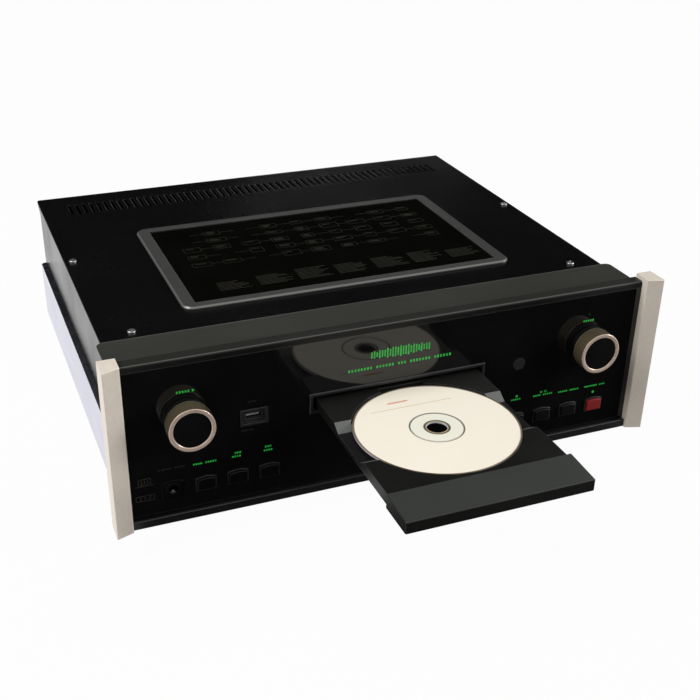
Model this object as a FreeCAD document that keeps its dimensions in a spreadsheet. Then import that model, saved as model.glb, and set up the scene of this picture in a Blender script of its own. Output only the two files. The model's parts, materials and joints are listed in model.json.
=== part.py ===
import FreeCAD, Part
import os
import re
import Sketcher
from math import acos, cos, pi, radians, sin, tan

# Disc player with a motor-driven tray, shown with the tray out and a disc on it.
# Working frame: X right, Y back, Z up. X = 0 is the middle, Y = 0 the front face of
# the glass panel and Z = 0 the surface that the feet stand on. Every sub-part's
# Placement then moves it back by origin_back, so that the origin of the finished
# player is the middle of its outline with the tray out, on that surface.

SIZES = {
    # front panel
    "overall_width": 444.5,
    "cap_bottom": 16.5,
    "cap_height": 135.9,
    "cap_width": 12.9,
    "cap_back": 8.8,
    "cap_proud": 6.0,
    "cap_slant": 4.5,
    "cap_bevel": 0.5,
    "glass_thick": 4.0,
    "glass_bottom": 24.4,
    "glass_top": 143.8,
    "bottom_rail_height": 6.9,
    "bottom_rail_proud": 3.6,
    "top_rail_height": 5.2,
    "top_rail_depth": 10.0,
    "rail_round": 1.8,
    "light_panel_thick": 2.6,
    "light_panel_margin": 6.0,
    "light_panel_sill_margin": 10.5,
    "subframe_front": 8.0,
    "subframe_thick": 3.0,
    "crown_inset": 0.5,
    "crown_back": 55.5,
    "crown_rise": 1.6,
    "crown_corner": 5.5,
    "crown_round": 0.6,
    "crown_lip_thick": 3.0,
    "crown_lip_drop": 2.2,
    # casing
    "sheet_thick": 1.5,
    "chassis_inset": 6.75,
    "chassis_bottom": 33.0,
    "chassis_depth": 355.5,
    "ledge_height": 83.4,
    "ledge_width": 10.5,
    "cover_inset": 4.4,
    "cover_top": 140.4,
    "visor_depth": 18.0,
    "visor_drop": 7.3,
    "cover_round": 1.6,
    # window in the cover
    "window_width": 282.0,
    "window_front": 88.0,
    "window_length": 174.0,
    "window_rise": 2.2,
    "window_corner": 9.0,
    "window_side_rim": 10.7,
    "window_end_rim": 8.6,
    "window_seat": 2.5,
    "window_glass_thick": 1.4,
    "window_bevel": 1.2,
    # air slots at the back of the cover
    "slot_pitch": 6.6,
    "slot_count": 57,
    "slot_width": 3.0,
    "slot_length": 25.0,
    "slot_row_inset": 5.5,
    "slot_row_pitch": 31.0,
    # cover screws
    "screw_head_radius": 3.2,
    "screw_head_height": 1.6,
    "screw_radius": 1.5,
    "screw_length": 6.0,
    "screw_front_inset": 25.1,
    "screw_front_back": 68.0,
    "screw_rear_inset": 7.1,
    "screw_rear_back": 214.0,
    # feet
    "foot_radius": 22.0,
    "foot_inset": 50.5,
    "foot_front": 60.0,
    "foot_rear_inset": 50.5,
    "foot_taper": 2.5,
    "pad_radius": 14.0,
    "pad_thick": 2.0,
    # tray slot
    "slot_side_gap": 1.5,
    "slot_gap_below": 0.3,
    "slot_gap_above": 0.8,
    "slot_trim_rim": 2.4,
    "slot_trim_proud": 1.0,
    # tray
    "tray_travel": 159.0,
    "tray_proud": 2.0,
    "tray_width": 133.0,
    "tray_bottom": 87.6,
    "tray_deck": 96.2,
    "tray_inside": 52.0,
    "tray_wall": 3.2,
    "tray_side_ceiling": 89.6,
    "tray_ceiling": 92.2,
    "fascia_overhang": 1.8,
    "fascia_depth": 30.0,
    "fascia_front_top": 96.4,
    "fascia_rear_top": 98.4,
    "fascia_bevel": 0.5,
    "disc_recess_radius": 61.0,
    "disc_recess_depth": 2.0,
    "small_recess_radius": 41.0,
    "small_recess_depth": 0.9,
    "hub_hole_radius": 20.0,
    "pickup_slot_width": 36.0,
    "pickup_slot_gap": 0.5,
    "scoop_inner": 52.0,
    "scoop_floor": 91.2,
    "scoop_ramp": 8.0,
    "scoop_length": 55.0,
    "scoop_behind_disc": 29.5,
    # disc
    "disc_radius": 60.0,
    "disc_hole_radius": 7.5,
    "disc_thick": 1.2,
    "disc_centre_out": 64.5,
    "disc_ring_radius": 19.0,
    "disc_ring_width": 1.0,
    "disc_ring_depth": 0.3,
    # rack and loading gear
    "gear_module": 1.0,
    "gear_teeth": 24,
    "gear_back": 45.0,
    "gear_thick": 1.5,
    "gear_slack": 0.12,
    "gear_shaft_radius": 2.0,
    "gear_shaft_length": 17.7,
    "running_gap": 0.05,
    "sliding_gap": 0.3,
    "loading_motor_radius": 11.0,
    # loader frame
    "loader_front": 30.0,
    "loader_wall": 3.0,
    "loader_side_gap": 0.5,
    "loader_floor": 58.0,
    "loader_floor_thick": 2.0,
    "loader_tail": 5.0,
    "loader_ledge": 8.5,
    "loader_ledge_thick": 2.7,
    "standoff_radius": 4.0,
    # traverse
    "traverse_lift": 10.0,
    "traverse_bottom": 64.0,
    "traverse_thick": 2.5,
    "traverse_width": 88.0,
    "traverse_ahead": 26.0,
    "traverse_length": 134.0,
    "traverse_rim": 8.0,
    "guide_post_radius": 2.0,
    "guide_post_inset": 5.0,
    "guide_post_height": 24.0,
    "spindle_motor_radius": 12.0,
    "spindle_motor_height": 11.0,
    "turntable_radius": 15.0,
    "turntable_thick": 2.5,
    "turntable_gap": 0.2,
    "hub_radius": 7.3,
    "hub_height": 2.1,
    "spindle_radius": 1.0,
    "rod_radius": 1.5,
    "rod_side": 20.0,
    "rod_height": 5.5,
    "rod_ahead": 2.0,
    "rod_length": 90.0,
    "rod_block": 6.0,
    "pickup_width": 48.0,
    "pickup_length": 26.0,
    "pickup_thick": 6.5,
    "pickup_start": 25.0,
    "pickup_travel": 33.0,
    "lens_radius": 4.5,
    "lens_gap": 1.6,
    # clamp above the tray
    "bridge_length": 24.0,
    "bridge_thick": 2.5,
    "clamp_radius": 14.0,
    "clamp_neck_radius": 8.0,
    "clamp_flange_radius": 11.0,
    "clamp_hole_gap": 0.5,
    "clamp_thick": 1.6,
    "clamp_gap": 0.5,
    # knobs
    "knob_inset": 44.35,
    "knob_height": 101.1,
    "knob_radius": 17.0,
    "knob_skirt_radius": 16.2,
    "knob_length": 18.5,
    "knob_skirt_length": 5.6,
    "knob_gap": 0.5,
    "knob_rim": 1.7,
    "knob_face_depth": 0.7,
    "knob_bevel": 0.6,
    "shaft_radius": 3.0,
    "encoder_size": 16.0,
    # buttons
    "button_inset": 31.85,
    "button_pitch": 24.5,
    "button_height": 43.7,
    "bezel_width": 15.6,
    "bezel_tall": 12.2,
    "bezel_rim": 1.0,
    "bezel_proud": 0.7,
    "arch_radius": 20.0,
    "button_gap": 0.25,
    "button_proud": 2.4,
    "button_travel": 1.0,
    "button_flange": 0.6,
    "button_flange_thick": 1.2,
    "button_stem_radius": 2.0,
    "button_bevel": 0.5,
    "switch_size": 6.0,
    "switch_body": 3.4,
    "plunger_radius": 1.6,
    "plunger_reach": 0.8,
    # sockets and small pieces on the panel
    "usb_from_knob": 50.2,
    "usb_height": 91.8,
    "usb_bezel_width": 20.8,
    "usb_bezel_tall": 13.2,
    "usb_rim": 3.2,
    "usb_proud": 0.6,
    "usb_mouth_width": 12.5,
    "usb_mouth_tall": 5.1,
    "usb_shell": 0.4,
    "usb_tongue_thick": 1.9,
    "jack_frame_width": 17.2,
    "jack_frame_tall": 14.8,
    "jack_proud": 0.6,
    "jack_bore_radius": 3.2,
    "jack_nut_radius": 5.2,
    "jack_bushing_radius": 6.0,
    "jack_depth": 26.0,
    "jack_body_size": 12.0,
    "jack_end_wall": 0.6,
    "ir_from_knob": 61.7,
    "ir_height": 94.6,
    "ir_radius": 5.0,
    "led_offset": 1.2,
    "led_height": 54.9,
    "led_radius": 1.1,
    # boards and display
    "board_front": 17.0,
    "board_thick": 1.6,
    "board_inset": 13.35,
    "board_bottom": 37.0,
    "board_top": 132.0,
    "board_gate_half_width": 77.0,
    "board_gate_bottom": 80.0,
    "board_gate_top": 108.0,
    "display_width": 130.0,
    "display_tall": 22.0,
    "display_height": 63.0,
    "display_depth": 5.0,
    "main_board_inset": 19.5,
    "main_board_width": 112.0,
    "main_board_front": 60.0,
    "main_board_rear_gap": 25.5,
    "main_board_height": 46.0,
    "board_post_radius": 3.0,
    "chip_size": 26.0,
    "chip_tall": 4.0,
    "chip_offset": 20.0,
    "capacitor_offset": 28.0,
    "capacitor_radius": 8.0,
    "capacitor_tall": 26.0,
    # power transformer
    "transformer_inset": 23.5,
    "transformer_rear_inset": 65.5,
    "transformer_radius": 42.0,
    "transformer_tall": 48.0,
    "transformer_hole": 10.0,
    # rear connectors
    "rca_height": 70.0,
    "rca_first": 40.0,
    "rca_pitch": 24.0,
    "rca_count": 6,
    "rca_radius": 4.15,
    "rca_length": 9.0,
    "rca_flange_radius": 6.5,
    "rca_flange_thick": 1.5,
    "rca_bore_radius": 1.6,
    "xlr_height": 70.0,
    "xlr_first": -70.0,
    "xlr_pitch": 34.0,
    "xlr_plate_width": 26.0,
    "xlr_plate_tall": 31.0,
    "xlr_plate_thick": 2.0,
    "xlr_shell_radius": 9.5,
    "xlr_wall": 1.3,
    "xlr_depth": 14.0,
    "xlr_pin_radius": 1.2,
    "xlr_pin_circle": 4.0,
    "xlr_pin_length": 8.5,
    "inlet_inset": 50.5,
    "inlet_height": 68.0,
    "inlet_plate_width": 48.0,
    "inlet_plate_tall": 27.0,
    "inlet_plate_thick": 2.5,
    "inlet_mouth_width": 24.5,
    "inlet_mouth_tall": 17.0,
    "inlet_depth": 20.0,
    "inlet_wall": 1.5,
    "inlet_pin_width": 4.0,
    "inlet_pin_thick": 2.0,
    "inlet_pin_length": 13.0,
    "inlet_pin_pitch": 7.0,
    "inlet_pin_drop": 2.0,
}

doc = FreeCAD.newDocument("disc_player")
sheet = doc.addObject("Spreadsheet::Sheet", "Dims")
for row, (alias, value) in enumerate(SIZES.items(), start=1):
    sheet.set(f"A{row}", alias)
    sheet.set(f"B{row}", str(value))
    sheet.setAlias(f"B{row}", alias)
doc.recompute()

SUBPARTS = []

# Values that several sub-parts share, each written in terms of the driving sizes.
SHARED = {
    "origin_back": "((chassis_depth + visor_depth - tray_travel - tray_proud) / 2)",
    "inner_side": "(overall_width / 2 - cap_width)",
    "chassis_width": "(overall_width - 2 * chassis_inset)",
    "cover_width": "(chassis_width - 2 * cover_inset)",
    "screw_front_side": "(cover_width / 2 - screw_front_inset)",
    "screw_rear_side": "(cover_width / 2 - screw_rear_inset)",
    "foot_side": "(chassis_width / 2 - foot_inset)",
    "foot_rear": "(chassis_depth - foot_rear_inset)",
    "slot_row_back": "(chassis_depth - slot_row_inset)",
    "knob_side": "(inner_side - knob_inset)",
    "button_last": "(inner_side - button_inset)",
    "usb_side": "(knob_side - usb_from_knob)",
    "ir_side": "(knob_side - ir_from_knob)",
    "led_side": "(button_last - led_offset)",
    "main_board_side": "(chassis_width / 2 - main_board_inset - main_board_width / 2)",
    "main_board_length": "(chassis_depth - main_board_front - main_board_rear_gap)",
    "transformer_side": "(chassis_width / 2 - transformer_inset - transformer_radius)",
    "transformer_back": "(chassis_depth - transformer_rear_inset)",
    "inlet_side": "(-chassis_width / 2 + inlet_inset)",
    "fascia_front_out": "(-tray_travel - tray_proud)",
    "fascia_width": "(tray_width + 2 * fascia_overhang)",
    "slot_trim_width": "(fascia_width + 2 * slot_side_gap + 2 * slot_trim_rim)",
    "slot_trim_bottom": "(tray_bottom - slot_gap_below - slot_trim_rim)",
    "slot_trim_top": "(fascia_rear_top + slot_gap_above + slot_trim_rim)",
    "fascia_back_out": "(fascia_front_out + fascia_depth)",
    "disc_seat": "(tray_deck - disc_recess_depth)",
    "spindle_back": "(tray_travel - disc_centre_out)",
    "pitch_radius": "(gear_module * gear_teeth / 2)",
    "rack_line": "(-tray_width / 2 + tray_wall + gear_module * 1.25)",
    "gear_side": "(rack_line + pitch_radius)",
    "loader_inner": "(tray_width / 2 + loader_side_gap)",
    "loader_outer": "(loader_inner + loader_wall)",
    "loader_back": "(tray_inside + tray_travel + loader_tail)",
    "loader_deck": "(loader_floor + loader_floor_thick)",
    "loader_top": "(fascia_rear_top + sliding_gap)",
    "chassis_floor": "(chassis_bottom + sheet_thick)",
    "turntable_top": "(disc_seat - turntable_gap - traverse_lift)",
    "pickup_slot_reach": "(pickup_start + pickup_travel + lens_radius + pickup_slot_gap)",
    "traverse_top": "(traverse_bottom + traverse_thick)",
    "traverse_front": "(spindle_back - traverse_ahead)",
    "traverse_back": "(traverse_front + traverse_length)",
    "rod_front": "(spindle_back + rod_ahead)",
    "rod_level": "(traverse_top + rod_height)",
    "subframe_back": "(subframe_front + subframe_thick)",
    "board_back": "(board_front + board_thick)",
    "rear_face": "(chassis_depth + sheet_thick)",
    "button_width": "(bezel_width - 2 * bezel_rim - 2 * button_gap)",
    "button_tall": "(bezel_tall - 2 * bezel_rim - 2 * button_gap)",
    "button_hole_width": "(bezel_width - 2 * bezel_rim)",
    "button_hole_tall": "(bezel_tall - 2 * bezel_rim)",
    "stem_end": "(board_front - switch_body - plunger_reach - button_travel - 2 * running_gap)",
    "rail_top": "(glass_top + top_rail_height)",
    "cover_inner": "(cover_width / 2 - sheet_thick)",
    "cover_under": "(cover_top - sheet_thick)",
    "gear_bottom": "(tray_bottom + 2 * running_gap)",
}


def spelled(expr):
    """An expression with shared values written out and each alias led by its sheet."""
    text = str(expr)
    while True:
        wider = re.sub(r"[a-z_]+", lambda m: SHARED.get(m.group(0), m.group(0)), text)
        if wider == text:
            break
        text = wider
    return re.sub(r"[a-z_]+", lambda m: "Dims." + m.group(0) if m.group(0) in SIZES else m.group(0), text)


def worth(expr):
    """The number, in millimetres, that an expression comes to with the sheet's values."""
    numbers = {alias: float(sheet.get(alias)) for alias in SIZES}
    text = spelled(expr).replace("Dims.", "")
    return float(
        FreeCAD.Units.Quantity(re.sub(r"[a-z_]+", lambda m: repr(numbers[m.group(0)]), text)).Value
    )


def bind(obj, prop, expr):
    obj.setExpression(prop, spelled(expr))


def put(obj, x, y, z):
    bind(obj, "Placement.Base.x", x)
    bind(obj, "Placement.Base.y", y)
    bind(obj, "Placement.Base.z", z)
    return obj


def box(x, y, z):
    """A block between two expressions along each axis."""
    obj = doc.addObject("Part::Box", "Block")
    for prop, (low, high) in (("Length", x), ("Width", y), ("Height", z)):
        bind(obj, prop, f"({high}) - ({low})")
    return put(obj, x[0], y[0], z[0])


def sides(half):
    return (f"-({half})", f"{half}")


def about(middle, width):
    return (f"({middle}) - ({width}) / 2", f"({middle}) + ({width}) / 2")


TURNS = {
    "x": FreeCAD.Rotation(FreeCAD.Vector(0, 1, 0), 90),
    "y": FreeCAD.Rotation(FreeCAD.Vector(1, 0, 0), -90),
    "z": FreeCAD.Rotation(),
}


def rod(axis, x, y, z, radius, length):
    """A round bar that starts at a point and runs along an axis."""
    obj = doc.addObject("Part::Cylinder", "Bar")
    obj.Placement = FreeCAD.Placement(FreeCAD.Vector(), TURNS[axis])
    bind(obj, "Radius", radius)
    bind(obj, "Height", length)
    return put(obj, x, y, z)


def taper(axis, x, y, z, start_radius, end_radius, length):
    """A cone frustum that starts at a point and runs along an axis."""
    obj = doc.addObject("Part::Cone", "Taper")
    obj.Placement = FreeCAD.Placement(FreeCAD.Vector(), TURNS[axis])
    bind(obj, "Radius1", start_radius)
    bind(obj, "Radius2", end_radius)
    bind(obj, "Height", length)
    return put(obj, x, y, z)


def fuse(*pieces):
    obj = doc.addObject("Part::MultiFuse", "Joined")
    obj.Shapes = list(pieces)
    obj.Refine = True
    return obj


def group(*pieces):
    """Separate solids of one sub-part."""
    obj = doc.addObject("Part::Compound", "Set")
    obj.Links = list(pieces)
    return obj


def cut(base, *tools):
    obj = doc.addObject("Part::Cut", "Trimmed")
    obj.Base = base
    obj.Tool = tools[0] if len(tools) == 1 else group(*tools)
    return obj


def overlap(base, tool):
    obj = doc.addObject("Part::Common", "Shared")
    obj.Base = base
    obj.Tool = tool
    return obj


def soften(base, size, chosen, kind="Part::Fillet"):
    """Rounds or bevels the edges that chosen picks, by a size in the sheet."""
    doc.recompute()
    radius = worth(size)
    obj = doc.addObject(kind, "Softened")
    obj.Base = base
    obj.Edges = [(i, radius, radius) for i, e in enumerate(base.Shape.Edges, start=1) if chosen(e)]
    return obj


def along(edge, axis):
    """Whether a straight edge runs along an axis."""
    if edge.Curve.TypeId != "Part::GeomLine":
        return False
    return abs(getattr(edge.Curve.Direction, axis)) > 0.999


def near(value, expr):
    return abs(value - worth(expr)) < 0.01


def profile(body, plane, points, role_offset=None):
    """A closed sketch through points given as pairs of expressions."""
    sketch = body.newObject("Sketcher::SketchObject", "Outline")
    origin = [f for f in body.Origin.OriginFeatures if f.Role == plane][0]
    sketch.AttachmentSupport = [(origin, "")]
    sketch.MapMode = "FlatFace"
    if role_offset:
        bind(sketch, "AttachmentOffset.Base.z", role_offset)
    numbers = [FreeCAD.Vector(worth(u), worth(v), 0) for u, v in points]
    for i, start in enumerate(numbers):
        sketch.addGeometry(Part.LineSegment(start, numbers[(i + 1) % len(numbers)]), False)
    for i in range(len(numbers)):
        sketch.addConstraint(Sketcher.Constraint("Coincident", i, 2, (i + 1) % len(numbers), 1))
    for i, (u, v) in enumerate(points):
        for kind, expr, value in (("DistanceX", u, numbers[i].x), ("DistanceY", v, numbers[i].y)):
            mark = sketch.addConstraint(Sketcher.Constraint(kind, i, 1, value))
            bind(sketch, f"Constraints[{mark}]", expr)
    return sketch


def padded(body, sketch, length, symmetric=False):
    pad = body.newObject("PartDesign::Pad", "Pad")
    pad.Profile = sketch
    bind(pad, "Length", length)
    pad.SideType = "Symmetric" if symmetric else "One side"
    doc.recompute()
    return pad


def pocketed(body, sketch, length, symmetric=False, reverse=False):
    before = body.Shape.Volume
    pocket = body.newObject("PartDesign::Pocket", "Pocket")
    pocket.Profile = sketch
    bind(pocket, "Length", length)
    pocket.SideType = "Symmetric" if symmetric else "One side"
    pocket.Reversed = reverse
    doc.recompute()
    if body.Shape.Volume > before - 1e-6:
        raise RuntimeError(f"{body.Name}: a pocket cuts nothing")
    return pocket


def subpart(obj, label):
    """Names a sub-part and moves it from the working frame to the player's own."""
    obj.Label = label
    bind(obj, "Placement.Base.y", "-origin_back")
    SUBPARTS.append(obj)
    return obj


# ---------------------------------------------------------------- front panel

BUTTONS = {
    "button_next": "-(button_last - 3 * button_pitch)",
    "button_previous": "-(button_last - 2 * button_pitch)",
    "button_layer": "-(button_last - button_pitch)",
    "button_stop": "(button_last - 3 * button_pitch)",
    "button_play": "(button_last - 2 * button_pitch)",
    "button_open": "(button_last - button_pitch)",
    "button_standby": "button_last",
}
JACK_SIDE = "-button_last"
KNOBS = {"input": "-knob_side", "level": "knob_side"}


def arched(side, y, width, tall):
    """A block with a gently arched top, centred on the row of buttons."""
    slab = box(about(side, width), y, about("button_height", tall))
    crest = f"button_height + ({tall}) / 2 - arch_radius"
    dome = rod("y", side, y[0], crest, "arch_radius", f"({y[1]}) - ({y[0]})")
    return overlap(slab, dome)


def round_hole(side, height, radius, y):
    return rod("y", side, y[0], height, radius, f"({y[1]}) - ({y[0]})")


def glass_holes():
    """What the glass is pierced for: each hole has its trim's own outline."""
    y = ("-1", "glass_thick + 1")
    holes = [box(about("0", "slot_trim_width"), y, ("slot_trim_bottom", "slot_trim_top"))]
    holes += [round_hole(side, "knob_height", "shaft_radius + 1", y) for side in KNOBS.values()]
    holes += [arched(side, y, "bezel_width", "bezel_tall") for side in BUTTONS.values()]
    holes.append(box(about("-usb_side", "usb_bezel_width"), y, about("usb_height", "usb_bezel_tall")))
    holes.append(round_hole(JACK_SIDE, "button_height", "jack_bushing_radius", y))
    holes.append(round_hole("ir_side", "ir_height", "ir_radius", y))
    holes.append(round_hole("led_side", "led_height", "led_radius", y))
    return holes


def hidden_holes(y, stem):
    """Holes behind the glass, with room round each piece that passes."""
    room = "2 * button_flange"
    holes = [box(about("0", "slot_trim_width"), y, ("slot_trim_bottom", "slot_trim_top"))]
    holes += [round_hole(side, "knob_height", "shaft_radius + 1", y) for side in KNOBS.values()]
    for side in BUTTONS.values():
        if stem:
            holes.append(round_hole(side, "button_height", "button_stem_radius + running_gap", y))
        else:
            holes.append(
                box(about(side, f"bezel_width + {room}"), y, about("button_height", f"bezel_tall + {room}"))
            )
    shell_wide = "usb_mouth_width + 2 * usb_shell + 2 * running_gap"
    shell_tall = "usb_mouth_tall + 2 * usb_shell + 2 * running_gap"
    holes.append(box(about("-usb_side", shell_wide), y, about("usb_height", shell_tall)))
    holes.append(round_hole(JACK_SIDE, "button_height", "jack_bushing_radius", y))
    holes.append(box(about("0", "display_width"), y, about("display_height", "display_tall")))
    return holes


def front_glass():
    plate = box(sides("inner_side"), ("0", "glass_thick"), ("glass_bottom", "glass_top"))
    return cut(plate, *glass_holes())


def legend_light_panel():
    """Carries the light behind the lettering places; it lies flat on the glass."""
    y = ("glass_thick", "glass_thick + light_panel_thick")
    z = ("glass_bottom + light_panel_sill_margin", "glass_top - light_panel_margin")
    plate = box(sides("inner_side - light_panel_margin"), y, z)
    return cut(plate, *hidden_holes(("glass_thick - 1", f"{y[1]} + 1"), stem=False))


def end_cap(sign):
    """An upright end cap whose front face leans out towards the side of the player."""
    body = doc.addObject("PartDesign::Body", "EndCap")
    inner = f"{sign} * inner_side"
    outer = f"{sign} * overall_width / 2"
    points = [
        (inner, "-cap_proud"),
        (outer, "-(cap_proud + cap_slant)"),
        (outer, "cap_back"),
        (inner, "cap_back"),
    ]
    pad = padded(body, profile(body, "XY_Plane", points, "cap_bottom"), "cap_height")
    front = worth("-cap_proud + 0.01")
    edges = [f"Edge{i}" for i, e in enumerate(pad.Shape.Edges, start=1) if e.BoundBox.YMax < front]
    bevel = body.newObject("PartDesign::Chamfer", "Bevel")
    bevel.Base = (pad, edges)
    bind(bevel, "Size", "cap_bevel")
    return body


def front_top_rail():
    """The glossy lip over the glass, rounded along its front."""
    bar = box(sides("inner_side"), ("0", "top_rail_depth"), ("glass_top", "rail_top"))

    def front_top(edge):
        mid = edge.CenterOfMass
        return along(edge, "x") and near(mid.y, "0") and near(mid.z, "rail_top")

    return soften(bar, "rail_round", front_top)


def front_bottom_rail():
    """The sill under the glass, with an upright web that meets the chassis floor."""
    sill_top = "(cap_bottom + bottom_rail_height)"
    sill = box(sides("inner_side"), ("-bottom_rail_proud", "cap_back"), ("cap_bottom", sill_top))
    web = box(sides("inner_side"), ("glass_thick", "cap_back"), (sill_top, "chassis_floor"))
    joined = fuse(sill, web)

    def front_edges(edge):
        return along(edge, "x") and near(edge.CenterOfMass.y, "-bottom_rail_proud")

    return soften(joined, "cap_bevel", front_edges, "Part::Chamfer")


def front_subframe():
    """The plate that carries the panel, with the satin crown over the cover's edge."""
    y = ("subframe_front", "subframe_back")
    plate = box(sides("inner_side"), y, ("chassis_floor", "cover_top"))
    body = doc.addObject("PartDesign::Body", "Crown")
    points = [
        ("top_rail_depth", "cover_top"),
        ("crown_back", "cover_top"),
        ("crown_back", "cover_top + crown_rise"),
        ("top_rail_depth + crown_lip_thick", "cover_top + crown_rise"),
        ("top_rail_depth + crown_lip_thick", "rail_top - crown_lip_drop"),
        ("top_rail_depth", "rail_top - crown_lip_drop"),
    ]
    padded(body, profile(body, "YZ_Plane", points), "chassis_width - 2 * crown_inset", symmetric=True)

    def rear_corners(edge):
        return along(edge, "z") and near(edge.CenterOfMass.y, "crown_back")

    def top_edges(edge):
        mid = edge.CenterOfMass
        return near(mid.z, "cover_top + crown_rise") and mid.y > worth("top_rail_depth + crown_lip_thick + 0.1")

    cornered = soften(body, "crown_corner", rear_corners)
    crown = soften(cornered, "crown_round", top_edges)
    pierced = cut(plate, *hidden_holes(("subframe_front - 1", "subframe_back + 1"), stem=True))
    return fuse(pierced, crown)


def tray_slot_trim():
    """The bevelled frame that lines the slot from the glass to the sub-frame."""
    y = ("-slot_trim_proud", "subframe_back")
    z = ("slot_trim_bottom", "slot_trim_top")
    ring = box(about("0", "slot_trim_width"), y, z)
    inner_half = "slot_trim_width / 2 - slot_trim_rim"
    way = box(
        sides(inner_half),
        (f"{y[0]} - 1", f"{y[1]} + 1"),
        (f"{z[0]} + slot_trim_rim", f"{z[1]} - slot_trim_rim"),
    )
    frame = cut(ring, way)

    def outer_front(edge):
        mid = edge.CenterOfMass
        at_side = abs(mid.x) > worth("slot_trim_width / 2 - 0.1")
        at_end = not worth(z[0]) + 0.1 < mid.z < worth(z[1]) - 0.1
        return near(mid.y, y[0]) and (at_side or at_end)

    return soften(frame, "slot_trim_proud / 2", outer_front, "Part::Chamfer")


def display_module():
    y = ("board_front - display_depth", "board_front")
    return group(box(about("0", "display_width"), y, about("display_height", "display_tall")))


def ir_window():
    return group(round_hole("ir_side", "ir_height", "ir_radius", ("0", "glass_thick")))


def standby_led():
    return group(round_hole("led_side", "led_height", "led_radius", ("-2 * running_gap", "glass_thick")))


# ---------------------------------------------------------------- knobs and buttons


def knob(side):
    """Skirt and core of a knob, bored for its shaft."""
    skirt_front = "-(knob_gap + knob_skirt_length)"
    skirt = round_hole(side, "knob_height", "knob_skirt_radius", (skirt_front, "-knob_gap"))
    face_back = "-(knob_length - knob_face_depth - knob_rim)"
    core = round_hole(side, "knob_height", "knob_radius - knob_rim", (face_back, skirt_front))
    bore = round_hole(side, "knob_height", "shaft_radius", (f"{face_back} + knob_rim", "1"))
    return cut(fuse(skirt, core), bore)


def knob_band(side):
    """The bright metal sleeve whose front edge is the knob's rim."""
    y = ("-knob_length", "-(knob_gap + knob_skirt_length)")
    sleeve = round_hole(side, "knob_height", "knob_radius", y)
    inside = round_hole(side, "knob_height", "knob_radius - knob_rim", (f"{y[0]} - 1", f"{y[1]} + 1"))
    ring = cut(sleeve, inside)

    def rims(edge):
        return edge.Curve.TypeId == "Part::GeomCircle" and edge.Curve.Radius > worth("knob_radius - 0.01")

    return soften(ring, "knob_bevel", rims, "Part::Fillet")


def knob_face(side):
    front = "-(knob_length - knob_face_depth)"
    return group(round_hole(side, "knob_height", "knob_radius - knob_rim", (front, f"{front} + knob_rim")))


def knob_shaft(side):
    tip = "-(knob_length - knob_face_depth - 2 * knob_rim)"
    return group(round_hole(side, "knob_height", "shaft_radius", (tip, "board_front - knob_gap")))


def encoder(side):
    """The turning switch on the front board, with a bearing bore for the shaft."""
    y = ("subframe_back", "board_front")
    case = box(about(side, "encoder_size"), y, about("knob_height", "encoder_size"))
    bore = round_hole(side, "knob_height", "shaft_radius + running_gap", (f"{y[0]} - 1", y[1]))
    return cut(case, bore)


def button(side):
    """A cap with a flange behind the bezel and a stem that reaches for its switch."""
    flange_front = "glass_thick + 2 * running_gap"
    flange_back = f"{flange_front} + button_flange_thick"
    cap = arched(side, ("-button_proud", flange_back), "button_width", "button_tall")

    def front_edges(edge):
        return near(edge.CenterOfMass.y, "-button_proud")

    cap = soften(cap, "button_bevel", front_edges)
    wide = "button_hole_width + 2 * button_flange"
    tall = "button_hole_tall + 2 * button_flange"
    flange = arched(side, (flange_front, flange_back), wide, tall)
    stem = round_hole(side, "button_height", "button_stem_radius", (flange_front, "stem_end"))
    return fuse(fuse(cap, flange), stem)


def button_bezels():
    y = ("-bezel_proud", "glass_thick")
    rings = []
    for side in BUTTONS.values():
        outer = arched(side, y, "bezel_width", "bezel_tall")
        way = arched(side, (f"{y[0]} - 1", f"{y[1]} + 1"), "button_hole_width", "button_hole_tall")
        rings.append(cut(outer, way))
    return group(*rings)


def button_switches():
    """One small press switch behind each button."""
    front = "board_front - switch_body"
    switches = []
    for side in BUTTONS.values():
        case = box(
            about(side, "switch_size"), (front, "board_front"), about("button_height", "switch_size")
        )
        plunger = round_hole(side, "button_height", "plunger_radius", (f"{front} - plunger_reach", front))
        switches.append(fuse(case, plunger))
    return group(*switches)


def front_board():
    """The board behind the panel, with a gate that the tray passes through."""
    y = ("board_front", "board_back")
    plate = box(sides("inner_side - board_inset"), y, ("board_bottom", "board_top"))
    through = ("board_front - 1", "board_back + 1")
    gate = box(sides("board_gate_half_width"), through, ("board_gate_bottom", "board_gate_top"))
    body = "jack_body_size + 2 * running_gap"
    jack = box(about(JACK_SIDE, body), through, about("button_height", body))
    return cut(plate, gate, jack)


def usb_bezel():
    y = ("-usb_proud", "glass_thick")
    step = "(usb_proud + glass_thick) / 2"
    plate = box(about("-usb_side", "usb_bezel_width"), y, about("usb_height", "usb_bezel_tall"))
    wide = "usb_bezel_width - usb_rim"
    tall = "usb_bezel_tall - usb_rim"
    recess = box(about("-usb_side", wide), (f"{y[0]} - 1", f"{y[0]} + {step}"), about("usb_height", tall))
    mouth = box(
        about("-usb_side", "usb_mouth_width"), (y[0], f"{y[1]} + 1"), about("usb_height", "usb_mouth_tall")
    )
    return cut(plate, recess, mouth)


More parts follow.
